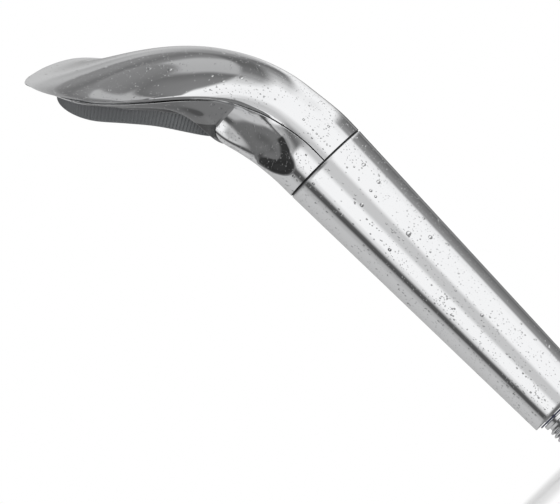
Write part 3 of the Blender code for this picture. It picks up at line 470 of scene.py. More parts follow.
FACE_FRAME = (Matrix.Translation((0, -FACE_FORWARD, SEAM + FACE_HEIGHT))
              @ Matrix.Rotation(pi / 2 + FACE_TILT, 4, 'X'))


def shell_height(y):
    """Height of the head's front over the face frame, along the plane of symmetry."""
    heights = FACE_HEIGHT + y * cos(FACE_TILT)
    plane = FACE_FORWARD + y * sin(FACE_TILT)
    return np.array([front_forward(h) for h in heights]) * cos(FACE_TILT) - plane * cos(FACE_TILT)


def tip_rise(y):
    """How far the head's front lies over the face frame toward the tip."""
    return np.maximum(shell_height(y) + BEZEL_PROUD, 0.0) * ease(y, -2 * MM, 12 * MM)


def bezel_top(y):
    dip = BEZEL_DIP[0] * ease(-y, 0.0, BEZEL_DIP[1])
    return tip_rise(y) - dip + BEZEL_CLIMB[0] * ease(-y, *BEZEL_CLIMB[1:])


def bezel_foot(y):
    deeper = BEZEL_REAR_DEPTH[0] * ease(-y, *BEZEL_REAR_DEPTH[1:])
    return bezel_top(y) - BEZEL_DEPTH - deeper + BEZEL_TIP_DEPTH[0] * ease(y, *BEZEL_TIP_DEPTH[1:])


def skirt_inset(share):
    """How far the plate's side lies inside the outline, from its foot (0) to its top (1)."""
    return BEZEL_WIDTH + PLATE_GAP + PLATE_DRAFT * share


# ------------------------------------------------------------------ modelling by operators
def deselect():
    if bpy.context.mode != 'OBJECT':
        bpy.ops.object.mode_set(mode='OBJECT')
    bpy.ops.object.select_all(action='DESELECT')


def pick(piece):
    deselect()
    piece.select_set(True)
    bpy.context.view_layer.objects.active = piece
    return piece


def named(name):
    piece = bpy.context.active_object
    piece.name = piece.data.name = name
    return piece


def edited(piece, *steps):
    """Runs steps on a piece in edit mode, with all of it selected at first."""
    pick(piece)
    bpy.ops.object.mode_set(mode='EDIT')
    bpy.ops.mesh.select_all(action='SELECT')
    for step in steps:
        step()
    bpy.ops.object.mode_set(mode='OBJECT')
    return piece


def merge_doubles():
    bpy.ops.mesh.remove_doubles(threshold=1e-6)


def turn_outward():
    bpy.ops.mesh.normals_make_consistent(inside=False)


def close_openings():
    bpy.ops.mesh.select_all(action='DESELECT')
    bpy.ops.mesh.select_non_manifold()
    bpy.ops.mesh.fill_holes(sides=0)
    bpy.ops.mesh.select_all(action='SELECT')


def shade(piece, angle):
    pick(piece)
    bpy.ops.object.shade_smooth_by_angle(angle=radians(angle))
    return piece


def moved(piece, matrix):
    """Puts a piece in place with its place in its mesh."""
    piece.data.transform(matrix)
    piece.data.update()
    return piece


def shaped_grid(name, points):
    """A grid of faces laid over rows of points: rows by columns by three."""
    rows, columns = points.shape[:2]
    deselect()
    bpy.ops.mesh.primitive_grid_add(x_subdivisions=columns - 1, y_subdivisions=rows - 1, size=1)
    piece = named(name)
    co = np.empty(len(piece.data.vertices) * 3)
    piece.data.vertices.foreach_get("co", co)
    co = co.reshape(-1, 3)
    column = np.rint((co[:, 0] + 0.5) * (columns - 1)).astype(int)
    row = np.rint((co[:, 1] + 0.5) * (rows - 1)).astype(int)
    piece.data.vertices.foreach_set("co", points[row, column].astype(np.float32).ravel())
    piece.data.update()
    return piece


def wrapped(points):
    """Repeats the first column at the end, so that a grid closes on itself."""
    return np.concatenate((points, points[:, :1]), axis=1)


def turned_points(profile, steps, swell=None):
    """Rows of points round +Z for a profile of (radius, height)."""
    turns = 2 * pi * np.arange(steps) / steps
    rows = []
    for radius, height in profile:
        radii = radius + (swell(turns, height) if swell else 0.0)
        rows.append(np.stack((radii * np.cos(turns), radii * np.sin(turns),
                              np.full(steps, height)), 1))
    return np.array(rows)


def turned(name, profile, steps=96, swell=None):
    """A closed ring turned round +Z: the profile goes once round the wall."""
    rows = wrapped(turned_points(profile, steps, swell))
    return edited(shaped_grid(name, np.concatenate((rows, rows[:1]))), merge_doubles, turn_outward)


def joined(pieces, name):
    deselect()
    for piece in pieces:
        piece.select_set(True)
    bpy.context.view_layer.objects.active = pieces[0]
    bpy.ops.object.join()
    return named(name)


def cut(piece, cutter):
    """Takes one piece out of another and removes it."""
    pick(piece)
    modifier = piece.modifiers.new("Cut", 'BOOLEAN')
    modifier.operation, modifier.solver, modifier.object = 'DIFFERENCE', 'EXACT', cutter
    bpy.ops.object.modifier_apply(modifier=modifier.name)
    bpy.data.objects.remove(cutter, do_unlink=True)
    return piece


def finish_piece(piece, angle, finish, body, node):
    """Smooths a piece, gives it its finish and puts it in the place of a node of the frame."""
    shade(piece, angle)
    piece.data.materials.clear()
    piece.data.materials.append(finishes()[finish])
    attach(piece, body)
    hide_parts(node)


# ------------------------------------------------------------------ finishes
class Flow:
    """A value that comes out of a node. Sums and products of flows add their Math nodes."""

    def __init__(self, finish, socket):
        self.finish, self.socket = finish, socket

    def _math(self, operation, other, swapped=False):
        pair = (other, self) if swapped else (self, other)
        return self.finish.node('ShaderNodeMath', {'operation': operation}, {0: pair[0], 1: pair[1]})

    def __add__(self, other):
        return self._math('ADD', other)

    def __sub__(self, other):
        return self._math('SUBTRACT', other)

    def __rsub__(self, other):
        return self._math('SUBTRACT', other, True)

    def __mul__(self, other):
        return self._math('MULTIPLY', other)

    def __truediv__(self, other):
        return self._math('DIVIDE', other)

    def __pow__(self, other):
        return self._math('POWER', other)

    def __gt__(self, other):
        return self._math('GREATER_THAN', other)

    def at_least(self, other):
        return self._math('MAXIMUM', other)

    __radd__, __rmul__ = __add__, __mul__


class Finish:
    """A node tree being written: one method adds any node."""

    def __init__(self, tree):
        self.tree = tree
        tree.nodes.clear()

    def node(self, kind, settings=None, values=None, output=0):
        made = self.tree.nodes.new(kind)
        for key, value in (settings or {}).items():
            if key == 'stops':
                self._stops(made.color_ramp, value)
            elif key == 'blend':
                made.color_ramp.interpolation = value
            else:
                setattr(made, key, value)
        for key, value in (values or {}).items():
            socket = made.inputs[key]
            if isinstance(value, Flow):
                self.tree.links.new(value.socket, socket)
            else:
                socket.default_value = value
        return Flow(self, made.outputs[output]) if made.outputs else None

    @staticmethod
    def _stops(ramp, stops):
        while len(ramp.elements) < len(stops):
            ramp.elements.new(0.5)
        for element, (place, value) in zip(ramp.elements, stops):
            element.position = place
            element.color = value if hasattr(value, '__len__') else (value, value, value, 1)

    def noise(self, place, scale, detail):
        return self.node('ShaderNodeTexNoise', None, {
            'Vector': place, 'Scale': scale, 'Detail': detail, 'Roughness': 0.5})

    def place(self):
        """Object coordinates."""
        return self.node('ShaderNodeTexCoord', None, None, 3)

    def stretched(self, place, scale):
        return self.node('ShaderNodeMapping', None, {'Vector': place, 'Scale': scale})

    def ramp(self, value, stops):
        return self.node('ShaderNodeValToRGB', {'stops': stops, 'blend': 'EASE'}, {'Fac': value})

    def tint(self, amount, first, second):
        return self.node('ShaderNodeMix', {'data_type': 'RGBA'}, {0: amount, 6: first, 7: second}, 2)

    def bump(self, height, distance, strength=1.0):
        return self.node('ShaderNodeBump', None, {
            'Height': height, 'Distance': distance, 'Strength': strength})


def material(name, settings):
    """A Principled finish. Settings are numbers, colours or flows by socket name."""
    made = bpy.data.materials.new(name)
    made.use_nodes = True
    finish = Finish(made.node_tree)
    values = settings(finish)
    surface = finish.node('ShaderNodeBsdfPrincipled', None, values)
    finish.node('ShaderNodeOutputMaterial', None, {'Surface': surface})
    return made


def opaque(value):
    return (*value, 1.0)


def droplets(finish, place, scale, share, seed):
    """Height of small round beads of water, with bare stretches between them."""
    shifted = finish.node('ShaderNodeMapping', None, {'Vector': place, 'Location': (seed, 0, 0)})
    distance = finish.node('ShaderNodeTexVoronoi', None, {
        'Vector': shifted, 'Scale': scale, 'Randomness': 1.0})
    chance = finish.node('ShaderNodeTexVoronoi', None, {
        'Vector': shifted, 'Scale': scale, 'Randomness': 1.0}, 1)
    lot = finish.node('ShaderNodeSeparateColor', None, {'Color': chance})
    size = (lot - (1 - share)).at_least(0.0) * (0.30 / share)
    return (size * size - distance * distance).at_least(0.0) ** 0.5


def chrome(name, tint, wet=1.0, base_roughness=0.045):
    def settings(f):
        place = f.place()
        haze = f.noise(place, 38.0, 4.0)
        smear = f.noise(f.stretched(place, (1.0, 1.0, 0.25)), 160.0, 3.0)
        patch = f.noise(place, 26.0, 2.0)
        beads = droplets(f, place, 300.0, 0.22, 0.0)
        fine = droplets(f, place, 720.0, 0.55, 5.0) * (patch > 0.42)
        mist = droplets(f, place, 1300.0, 0.75, 9.0) * (haze > 0.42)
        wave = f.noise(place, 95.0, 1.0)
        rough = haze * 0.05 + smear * 0.03 + base_roughness - 0.03
        bumped = f.bump((beads + fine * 0.5 + mist * 0.25) * wet, 0.0022, 0.75)
        bumped = f.node('ShaderNodeBump', None, {
            'Height': wave, 'Distance': 0.00035, 'Strength': 0.12, 'Normal': bumped})
        return {'Base Color': f.tint(haze * 0.35, opaque(tint), opaque([c * 0.9 for c in tint])),
                'Metallic': 1.0, 'Roughness': rough, 'Normal': bumped}
    return material(name, settings)


def brushed(name, tint, rough=0.26):
    def settings(f):
        lines = f.noise(f.stretched(f.place(), (1.0, 1.0, 9.0)), 900.0, 3.0)
        return {'Base Color': f.tint(lines * 0.4, opaque(tint), opaque([c * 0.75 for c in tint])),
                'Metallic': 1.0, 'Roughness': lines * 0.18 + (rough - 0.09),
                'Normal': f.bump(lines, 0.0002, 0.3)}
    return material(name, settings)


def moulded(name, tint, rough=0.45, grain=1400.0, depth=0.00012, coat=0.0):
    def settings(f):
        place = f.place()
        skin = f.noise(place, grain, 2.0)
        cloud = f.noise(place, 45.0, 3.0)
        values = {'Base Color': f.tint(cloud * 0.45, opaque(tint), opaque([c * 0.72 for c in tint])),
                  'Roughness': skin * 0.12 + cloud * 0.10 + (rough - 0.1),
                  'Normal': f.bump(skin, depth, 0.4)}
        if coat:
            values['Coat Weight'] = coat
            values['Coat Roughness'] = 0.12
        return values
    return material(name, settings)


def soft_rubber(name, tint, rough=0.55):
    def settings(f):
        place = f.place()
        bloom = f.noise(place, 120.0, 4.0)
        pores = f.noise(place, 2600.0, 2.0)
        return {'Base Color': f.tint(bloom * 0.5, opaque(tint), opaque([c * 1.9 for c in tint])),
                'Roughness': bloom * 0.2 + (rough - 0.1),
                'Normal': f.bump(pores, 0.0001, 0.35)}
    return material(name, settings)


def finishes():
    """All finishes by name, made once."""
    c = bpy.context.scene.sprayer_colours
    wanted = {
        'head_chrome': lambda n: chrome(n, c.chrome),
        'handle_chrome': lambda n: chrome(n, c.chrome, 0.8),
        'rim_chrome': lambda n: chrome(n, [0.8 * v for v in c.chrome], 0.3, 0.10),
        'inlet_chrome': lambda n: chrome(n, [0.93 * v for v in c.chrome], 0.0, 0.09),
        'stainless': lambda n: brushed(n, c.steel),
        'plate_grey': lambda n: moulded(n, c.plate, 0.36, 1100.0, 0.0001, 0.25),
        'nozzle_silicone': lambda n: soft_rubber(n, c.silicone, 0.48),
        'seal_black': lambda n: soft_rubber(n, c.rubber, 0.6),
        'moulding_grey': lambda n: moulded(n, c.moulding),
        'tube_pale': lambda n: moulded(n, c.tube, 0.38),
        'valve_blue': lambda n: moulded(n, c.valve, 0.4),
        'ring_navy': lambda n: moulded(n, c.ring, 0.28, 1400.0, 0.0001, 0.4),
    }
    return {name: bpy.data.materials.get(name) or make(name) for name, make in wanted.items()}


# ------------------------------------------------------------------ stage and camera
CAMERA_TURN = radians(21)        # round the handle, from +X toward +Y
CAMERA_DROP = -0.045             # the camera looks very slightly upward
CAMERA_DISTANCE = 2.4
CAMERA_ROLL = (0.7145, 0.6997)   # cosine and sine of the camera's turn round its own line of sight
CAMERA_AIM = (11.8 * MM, 35.1 * MM)     # the target, below the seam and ahead of the handle
SENSOR_WIDTH = 36.0
VIEW_WIDTH = 0.20804             # seen across the picture at the sprayer
DISPLAY_GAMMA = 2.2


def camera_axes():
    """The camera's back, right and up in the part's frame, and its level and rise before the roll."""
    back = Vector((cos(CAMERA_TURN), sin(CAMERA_TURN), CAMERA_DROP)).normalized()
    level = Vector((-sin(CAMERA_TURN), cos(CAMERA_TURN), 0.0))
    rise = back.cross(level)
    if rise.z < 0:
        rise = -rise
    right = level * CAMERA_ROLL[0] - rise * CAMERA_ROLL[1]
    up = rise * CAMERA_ROLL[0] + level * CAMERA_ROLL[1]
    return back, right, up, level, rise


class SPRAYER_OT_camera(bpy.types.Operator):
    """Put the camera beside the sprayer, rolled so that the handle runs across the picture"""
    bl_idname = "sprayer.camera"
    bl_label = "Camera"

    def execute(self, context):
        back, right, up, level, rise = camera_axes()
        target = Vector((0, 0, SEAM)) - rise * CAMERA_AIM[0] - level * CAMERA_AIM[1]
        deselect()
        bpy.ops.object.camera_add(location=target + back * CAMERA_DISTANCE)
        camera = bpy.context.active_object
        camera.name = "sprayer_camera"
        camera.rotation_euler = Matrix((right, up, back)).transposed().to_euler()
        camera.data.sensor_width = SENSOR_WIDTH
        camera.data.lens = SENSOR_WIDTH * CAMERA_DISTANCE / VIEW_WIDTH
        camera.data.clip_start, camera.data.clip_end = 0.1, 20.0
        context.scene.camera = camera
        context.scene.view_settings.view_transform = 'Standard'
        return {'FINISHED'}


# tone, as it is seen, round the horizon at eight elevations, from below to above;
# turns are in degrees from the camera's side, positive toward the back of the handle
STUDIO = (
    (-90, -52, ((-180, .52), (-120, .46), (-40, .32), (60, .38), (180, .52))),
    (-38, -9, ((-180, .60), (-150, .66), (-130, .46), (-95, .50), (-60, .46), (-20, .42),
               (20, .52), (90, .60), (140, .50), (180, .60))),
    (-5, 3, ((-180, .40), (-168, .72), (-100, .77), (-86, .70), (-76, .32), (-68, .34),
             (-56, .90), (-46, 1), (-22, 1), (-8, .80), (10, .80), (24, 1), (72, 1), (90, .96),
             (102, .58), (124, .48), (142, .42), (152, .58), (164, .30), (180, .40))),
    (8, 11, ((-180, .50), (-150, .50), (-140, .34), (-100, .44), (-72, .42), (-58, .74),
             (-36, .66), (-18, .42), (-2, .55), (15, .85), (30, 1), (122, 1), (152, .95),
             (168, .80), (180, .60))),
    (17, 23, ((-180, .50), (-142, .22), (-62, .22), (-45, .55), (-5, .70), (12, .98), (76, 1),
              (92, .88), (108, .72), (122, .56), (137, .44), (151, .72), (168, .78), (180, .6))),
    (29, 36, ((-180, .40), (-140, .20), (-60, .20), (-20, .55), (18, .95), (46, 1), (62, .84),
              (78, .62), (95, .46), (115, .40), (128, .42), (142, .58), (160, .72), (180, .5))),
    (40, 54, ((-180, .38), (-130, .28), (-90, .22), (-60, .22), (0, .48), (35, .56), (58, .50),
              (72, .44), (82, .70), (112, .72), (124, .52), (135, .46), (150, .54), (180, .5))),
    (56, 90, ((-180, .38), (-90, .22), (-40, .34), (0, .42), (60, .43), (105, .52), (150, .57),
              (180, .45))),
)


def surroundings(strength):
    """Even white light, with a studio's cards and shades for what the chrome mirrors."""
    world = bpy.data.worlds.new("sprayer_studio")
    bpy.context.scene.world = world
    world.use_nodes = True
    f = Finish(world.node_tree)
    rays = f.node('ShaderNodeLightPath').socket.node
    camera_ray, glossy_ray = (Flow(f, rays.outputs[key]) for key in ('Is Camera Ray', 'Is Glossy Ray'))
    direction = f.node('ShaderNodeTexCoord')
    split = f.node('ShaderNodeSeparateXYZ', None, {0: direction}).socket.node
    x, y, z = (Flow(f, split.outputs[i]) for i in range(3))
    ahead = x * cos(CAMERA_TURN) + y * sin(CAMERA_TURN)
    beside = y * cos(CAMERA_TURN) - x * sin(CAMERA_TURN)
    around = beside._math('ARCTAN2', ahead) / (2 * pi) + 0.5
    height = z._math('ARCSINE', 0.0) * (180 / pi)
    studio, reached = None, None
    for bottom, top, stops in STUDIO:
        ring = f.ramp(around, [(turn / 360 + 0.5, value ** DISPLAY_GAMMA) for turn, value in stops])
        if studio is None:
            studio = ring
        else:
            step = f.node('ShaderNodeMapRange', {'interpolation_type': 'SMOOTHSTEP'}, {
                'Value': height, 'From Min': float(reached), 'From Max': float(bottom)})
            studio = f.tint(step, studio, ring)
        reached = top
    seen = f.tint(glossy_ray, opaque((1, 1, 1)), studio)
    level = camera_ray.at_least(glossy_ray)
    background = f.node('ShaderNodeBackground', None, {
        'Color': seen, 'Strength': level * (1.0 - strength) + strength})
    f.node('ShaderNodeOutputWorld', None, {'Surface': background})


def floor_finish(tint):
    """A pale floor that fades into the white surroundings far from the part."""
    made = bpy.data.materials.new("studio_floor")
    made.use_nodes = True
    f = Finish(made.node_tree)
    place = f.place()
    split = f.node('ShaderNodeSeparateXYZ', None, {0: place}).socket.node
    x, y = Flow(f, split.outputs[0]), Flow(f, split.outputs[1])
    away = (x * x + y * y) ** 0.5
    fade = f.ramp(away, [(0.0, 0.0), (0.14, 0.0), (0.40, 1.0), (1.0, 1.0)])
    pale = f.node('ShaderNodeBsdfPrincipled', None, {
        'Base Color': opaque(tint), 'Roughness': 0.9})
    white = f.node('ShaderNodeEmission', None, {'Color': opaque((1, 1, 1)), 'Strength': 1.0})
    f.node('ShaderNodeOutputMaterial', None, {
        'Surface': f.node('ShaderNodeMixShader', None, {0: fade, 1: pale, 2: white})})
    return made


class SPRAYER_OT_stage(bpy.types.Operator):
    """Lay a pale floor and hang soft studio lamps round the sprayer"""
    bl_idname = "sprayer.stage"
    bl_label = "Floor and lamps"

    def execute(self, context):
        stage = context.scene.sprayer_stage
        surroundings(stage.sky)
        deselect()
        floor_height = CAD_BOX[0][2] - stage.floor_drop
        bpy.ops.mesh.primitive_circle_add(vertices=96, radius=4.0, fill_type='NGON',
                                          location=(0, 0, 0))
        floor = named("studio_floor")
        moved(floor, Matrix.Translation((0, 0, floor_height)))
        floor.data.materials.append(floor_finish(stage.floor_colour))
        floor.visible_glossy = False
        centre = Vector((0, 0, SEAM))
        for name, way, size, power in (("key", Vector((0.5, 0.5, 1.4)), 0.9, stage.key),
                                       ("fill", Vector((1.2, -0.9, 0.5)), 1.1, stage.key * 0.5)):
            deselect()
            bpy.ops.object.light_add(type='AREA', location=centre + way)
            lamp = bpy.context.active_object
            lamp.name = lamp.data.name = "lamp_" + name
            lamp.rotation_euler = way.to_track_quat('Z', 'Y').to_euler()
            lamp.data.shape, lamp.data.size, lamp.data.energy = 'DISK', size, power
            lamp.visible_glossy = False
        return {'FINISHED'}


# ------------------------------------------------------------------ the head
def shell_loop(half, line, wall):
    """A closed loop through a half-section, its mirror image and a smaller copy inside."""
    width, depth = half[:, 0].max(), np.abs(half[:, 1] - line).max()
    shares = max(1 - wall / width, 0.3), max(1 - wall / depth, 0.3)
    inner = np.stack((half[:, 0] * shares[0], line + (half[:, 1] - line) * shares[1]), 1)
    inner = np.concatenate((inner[:-1:3], inner[-1:]))
    mirror = (-1, 1)
    return np.concatenate((half[::-1], half[1:] * mirror, inner[::-1] * mirror, inner[1:]))


def shell_rows(part, settings):
    """Loops of one shell of the head, row by row: part is 'back' or 'under'."""
    top = HEAD_HEIGHT - BACK_TOP_GAP if part == 'back' else under_shell_top(settings.groove)
    rows = []
    for height in head_heights(settings.head_rows, top):
        section, rim_share = soft_section(height)
        run = run_length(section)
        line = parting_forward(height)
        if part == 'back':
            end = max(crossing(section, line), run[-1] * rim_share)
            rim = min(run[-1] * rim_share, end * 0.97)
            places = np.concatenate((np.linspace(0, rim, 72), np.linspace(rim, end, 13)[1:]))
            half = rolled(resample(section, places), min(settings.edge_radius, 0.3 * (end - rim)))
        else:
            groove = settings.groove * (1 - 0.55 * neck_share(height))
            line += groove * rim_forward.stretch(height)
            start = crossing(section, line)
            places = start + (run[-1] - start) * np.linspace(1, 0, 90) ** 1.15
            half = rolled(resample(section, places), min(settings.edge_radius, 0.2 * (run[-1] - start)))
        ring = shell_loop(half, line, settings.wall)
        rows.append(np.stack((ring[:, 0], -ring[:, 1], np.full(len(ring), SEAM + height)), 1))
    return np.array(rows)


def face_prism(name, inset, bottom, top):
    """A leaf-shaped block on the face's outline, in the part's frame."""
    outline = face_outline(inset, 160)
    rows = [np.column_stack((outline, np.full(len(outline), z))) for z in (bottom, top)]
    return moved(capped(name, np.array(rows)), FACE_FRAME)


def capped(name, rows):
    """A ring of rows closed by a flat face at both ends."""
    return edited(shaped_grid(name, wrapped(rows)), merge_doubles, turn_outward, close_openings,
                  turn_outward)


class SPRAYER_OT_back_shell(bpy.types.Operator):
    """Model the head's leaf-shaped back shell with its rolled rim"""
    bl_idname = "sprayer.back_shell"
    bl_label = "Back shell"

    def execute(self, context):
        shell = capped("head_back_shell", shell_rows('back', context.scene.sprayer_shapes))
        finish_piece(shell, 50, 'head_chrome', "sprayer", "head_top_shell")
        return {'FINISHED'}


class SPRAYER_OT_under_shell(bpy.types.Operator):
    """Model the head's underside and neck with the concave panel in either side"""
    bl_idname = "sprayer.under_shell"
    bl_label = "Under shell"

    def execute(self, context):
        shell = capped("head_under_shell", shell_rows('under', context.scene.sprayer_shapes))
        cut(shell, face_prism("opening", -BEZEL_GROOVE, -OPENING_REACH, OPENING_REACH))
        finish_piece(shell, 50, 'head_chrome', "sprayer", "head_bottom_shell")
        return {'FINISHED'}


# ------------------------------------------------------------------ the spray face
class SPRAYER_OT_bezel(bpy.types.Operator):
    """Model the bright rim that lies round the spray plate and climbs onto the neck"""
    bl_idname = "sprayer.bezel"
    bl_label = "Face rim"

    def execute(self, context):
        count, radius = 260, BEZEL_EDGE
        turns = np.linspace(0, pi / 2, 7)
        profile = [(0.0, None)] + [(radius * (1 - cos(t)), radius * (1 - sin(t))) for t in turns]
        profile += [(BEZEL_WIDTH - radius * (1 - cos(t)), radius * (1 - sin(t))) for t in turns[::-1]]
        profile += [(BEZEL_WIDTH, None)]
        rows = []
        for inset, drop in profile:
            outline = face_outline(inset, count)
            y = outline[:, 1]
            z = bezel_foot(y) if drop is None else bezel_top(y) - drop
            rows.append(np.column_stack((outline, z)))
        rows = wrapped(np.array(rows))
        bezel = edited(shaped_grid("face_rim", np.concatenate((rows, rows[:1]))), merge_doubles,
                       turn_outward)
        moved(bezel, FACE_FRAME)
        finish_piece(bezel, 50, 'rim_chrome', "sprayer", "face_bezel")
        return {'FINISHED'}


def plate_rows(settings, flutes):
    """Rows of points up the fluted skirt and over the plate's rounded edge."""
    count = flutes * 8
    wave = 0.5 + 0.5 * np.cos(2 * pi * np.arange(count) / 8)
    edge = PLATE_EDGE
    levels = [(share, 0.0, 0.0, 1.0) for share in np.linspace(0, 1, 12)]
    levels += [(1.0, edge * sin(t), edge * (1 - cos(t)), 1 - sin(t))
               for t in np.linspace(0, pi / 2, 7)[1:]]
    rows = []
    for share, lift, inward, depth in levels:
        inset = skirt_inset(share) + inward
        outer = face_outline(inset, count)
        inner = face_outline(inset + settings.flute_depth, count)
        amount = (wave * depth)[:, None]
        points = outer * (1 - amount) + inner * amount
        foot = tip_rise(points[:, 1]) - PLATE_FOOT
        z = foot + (plate_top(points[:, 1]) - edge - foot) * share + lift
        rows.append(np.column_stack((points, z)))
    for inset in np.arange(1.0, 30.0, 1.0) * MM:
        points = face_outline(skirt_inset(1.0) + edge + inset, count)
        if FACE_HALF_WIDTH - skirt_inset(1.0) - edge - inset < 2 * MM:
            break
        rows.append(np.column_stack((points, plate_top(points[:, 1]))))
    return np.array(rows)


def nozzle_field(radius, bottom, top, sides):
    """One bar at each nozzle's place, in the face's own frame."""
    pieces = []
    for x, y in nozzle_places():
        deselect()
        bpy.ops.mesh.primitive_cylinder_add(vertices=sides, radius=radius, depth=top - bottom,
                                            location=(0, 0, 0))
        middle = plate_top(y) + (top + bottom) / 2
        pieces.append(moved(bpy.context.active_object, Matrix.Translation((x, y, middle))))
    return joined(pieces, "nozzle_field")


class SPRAYER_OT_spray_plate(bpy.types.Operator):
    """Model the raised spray plate with its fluted skirt and a hole for each nozzle"""
    bl_idname = "sprayer.spray_plate"
    bl_label = "Spray plate"

    def execute(self, context):
        settings = context.scene.sprayer_shapes
        flutes = int(round(outline_length(skirt_inset(0.5)) / settings.flute_pitch))
        plate = capped("spray_plate_fluted", plate_rows(settings, flutes))
        cut(plate, nozzle_field(NOZZLE_BASE_RADIUS + NOZZLE_GAP, -PLATE_THICKNESS, 1 * MM, 24))
        moved(plate, FACE_FRAME)
        finish_piece(plate, 40, 'plate_grey', "sprayer", "spray_plate")
        return {'FINISHED'}


def nozzle_profile(bore):
    """One soft nozzle, from the mat up its side, over the tip and down its bore."""
    base, tip = NOZZLE_BASE_RADIUS, NOZZLE_TIP_RADIUS
    foot, plate, top = -PLATE_THICKNESS - 0.6 * MM, 0.0, NOZZLE_RISE
    return [(base, foot), (base, plate - 0.15 * MM), (base * 0.97, plate + 0.15 * MM),
            (tip + 0.22 * MM, top - 0.75 * MM), (tip, top - 0.25 * MM),
            (tip - 0.08 * MM, top - 0.07 * MM), (tip - 0.2 * MM, top), (bore + 0.08 * MM, top),
            (bore, top - 0.1 * MM), (bore, top - 1.4 * MM)]


class SPRAYER_OT_nozzles(bpy.types.Operator):
    """Model one soft nozzle, copy it to every place and join the copies to their mat"""
    bl_idname = "sprayer.nozzles"
    bl_label = "Nozzles"

    def execute(self, context):
        profile = nozzle_profile(context.scene.sprayer_shapes.nozzle_bore)
        first = capped("nozzle", turned_points(profile, 16))
        pieces = []
        for x, y in nozzle_places():
            pick(first)
            bpy.ops.object.duplicate(linked=False)
            place = Matrix.Translation((x, y, plate_top(y)))
            pieces.append(moved(bpy.context.active_object, place))
        bpy.data.objects.remove(first, do_unlink=True)
        outline = face_outline(skirt_inset(1.0) + PLATE_THICKNESS + PLATE_GAP, 120)
        high_side = plate_top(outline[:, 1]) - PLATE_THICKNESS - PLATE_GAP
        rows = [np.column_stack((outline, high_side - drop)) for drop in (MAT_THICKNESS, 0.0)]
        pieces.append(capped("mat", np.array(rows)))
        mat = joined(pieces, "nozzle_mat_soft")
        moved(mat, FACE_FRAME)
        finish_piece(mat, 50, 'nozzle_silicone', "sprayer", "nozzle_mat")
        return {'FINISHED'}


# ------------------------------------------------------------------ the handle
class SPRAYER_OT_handle(bpy.types.Operator):
    """Turn the tapered chrome handle with its rounded ends"""
    bl_idname = "sprayer.handle"
    bl_label = "Handle"

    def execute(self, context):
        settings = context.scene.sprayer_shapes
        taper = (NECK_RADIUS - HANDLE_LOW_RADIUS) / (HANDLE_HIGH - HANDLE_LOW)
        heights = np.linspace(HANDLE_LOW, HANDLE_HIGH, 60)
        outer = [(HANDLE_LOW_RADIUS + taper * (h - HANDLE_LOW), h) for h in heights]
        radius = settings.edge_radius
        low_edge = [(outer[0][0] - radius * (1 - sin(t)), HANDLE_LOW + radius * (1 - cos(t)))
                    for t in np.linspace(0, pi / 2, 6)]
        high_edge = [(outer[-1][0] - radius * (1 - cos(t)), HANDLE_HIGH - radius * (1 - sin(t)))
                     for t in np.linspace(0, pi / 2, 6)]
        wall = settings.wall
        profile = low_edge + outer[1:-1] + high_edge + [
            (outer[-1][0] - wall, HANDLE_HIGH), (outer[0][0] - wall, HANDLE_LOW)]
        handle = turned("handle_tube", profile, 144)
        finish_piece(handle, 45, 'handle_chrome', "sprayer", "handle_sleeve")
        return {'FINISHED'}


# ------------------------------------------------------------------ the inlet
def inlet_profile():
    """Half-section of the swivelling inlet, from its end face up, and back down its bore."""
    outer = (high("swivel_connector").x - low("swivel_connector").x) / 2
    end, top = low("swivel_connector").z, high("swivel_connector").z
    bore, stem, gap = INLET_BORE, INLET_STEM, INLET_GAP
    collar_high = low("thrust_washer").z - gap
    root = outer - THREAD_DEPTH
    profile = [(bore + 0.3 * MM, end), (outer - 1.3 * MM, end), (outer - 1.1 * MM, end + 0.1 * MM)]
    profile += [(outer, h) for h in np.linspace(THREAD_LOW, THREAD_HIGH, 110)]
    profile += [(root, THREAD_HIGH + 0.25 * MM), (root, COLLAR_LOW - 0.1 * MM),
                (outer - 0.25 * MM, COLLAR_LOW), (outer, COLLAR_LOW + 0.25 * MM),
                (outer, collar_high - 0.25 * MM), (outer - 0.25 * MM, collar_high), (stem, collar_high)]
    for height in SEAL_GROOVES:
        groove_low, groove_high = height - SEAL_GROOVE_HALF, height + SEAL_GROOVE_HALF
        profile += [(stem, groove_low), (stem - SEAL_GROOVE_DEPTH, groove_low),
                    (stem - SEAL_GROOVE_DEPTH, groove_high), (stem, groove_high)]
    clip_low, clip_high = low("retaining_clip").z - gap, high("retaining_clip").z + gap
    profile += [(stem, clip_low), (stem - 1 * MM, clip_low), (stem - 1 * MM, clip_high),
                (stem, clip_high), (stem, top - 0.4 * MM), (stem - 0.4 * MM, top), (STEM_BORE, top)]
    shoulder = high("spring_stop").z + gap
    profile += [(STEM_BORE, shoulder), (bore, shoulder), (bore, end + 0.3 * MM)]
    return profile


class SPRAYER_OT_inlet(bpy.types.Operator):
    """Cut the swivelling inlet with its pipe thread, collar, seal grooves and stem"""
    bl_idname = "sprayer.inlet"
    bl_label = "Hose inlet"

    def execute(self, context):
        pitch = context.scene.sprayer_shapes.thread_pitch
        slack = 0.01 * MM

        def thread(turns, height):
            if not THREAD_LOW - slack < height < THREAD_HIGH + slack:
                return 0.0
            phase = (height / pitch - turns / (2 * pi)) % 1.0
            tooth = np.clip(np.abs(phase - 0.5) * 2.9 - 0.42, 0.0, 1.0)
            run_in = min((height - 0.3 * MM) / (1.3 * MM), 1.0)
            run_out = 1 - float(ease(height, THREAD_HIGH - 0.8 * MM, THREAD_HIGH))
            return -THREAD_DEPTH * (1 - (1 - tooth) * run_in * run_out)
        inlet = turned("inlet_thread", inlet_profile(), 120, thread)
        finish_piece(inlet, 35, 'inlet_chrome', "connector", "swivel_connector")
        return {'FINISHED'}


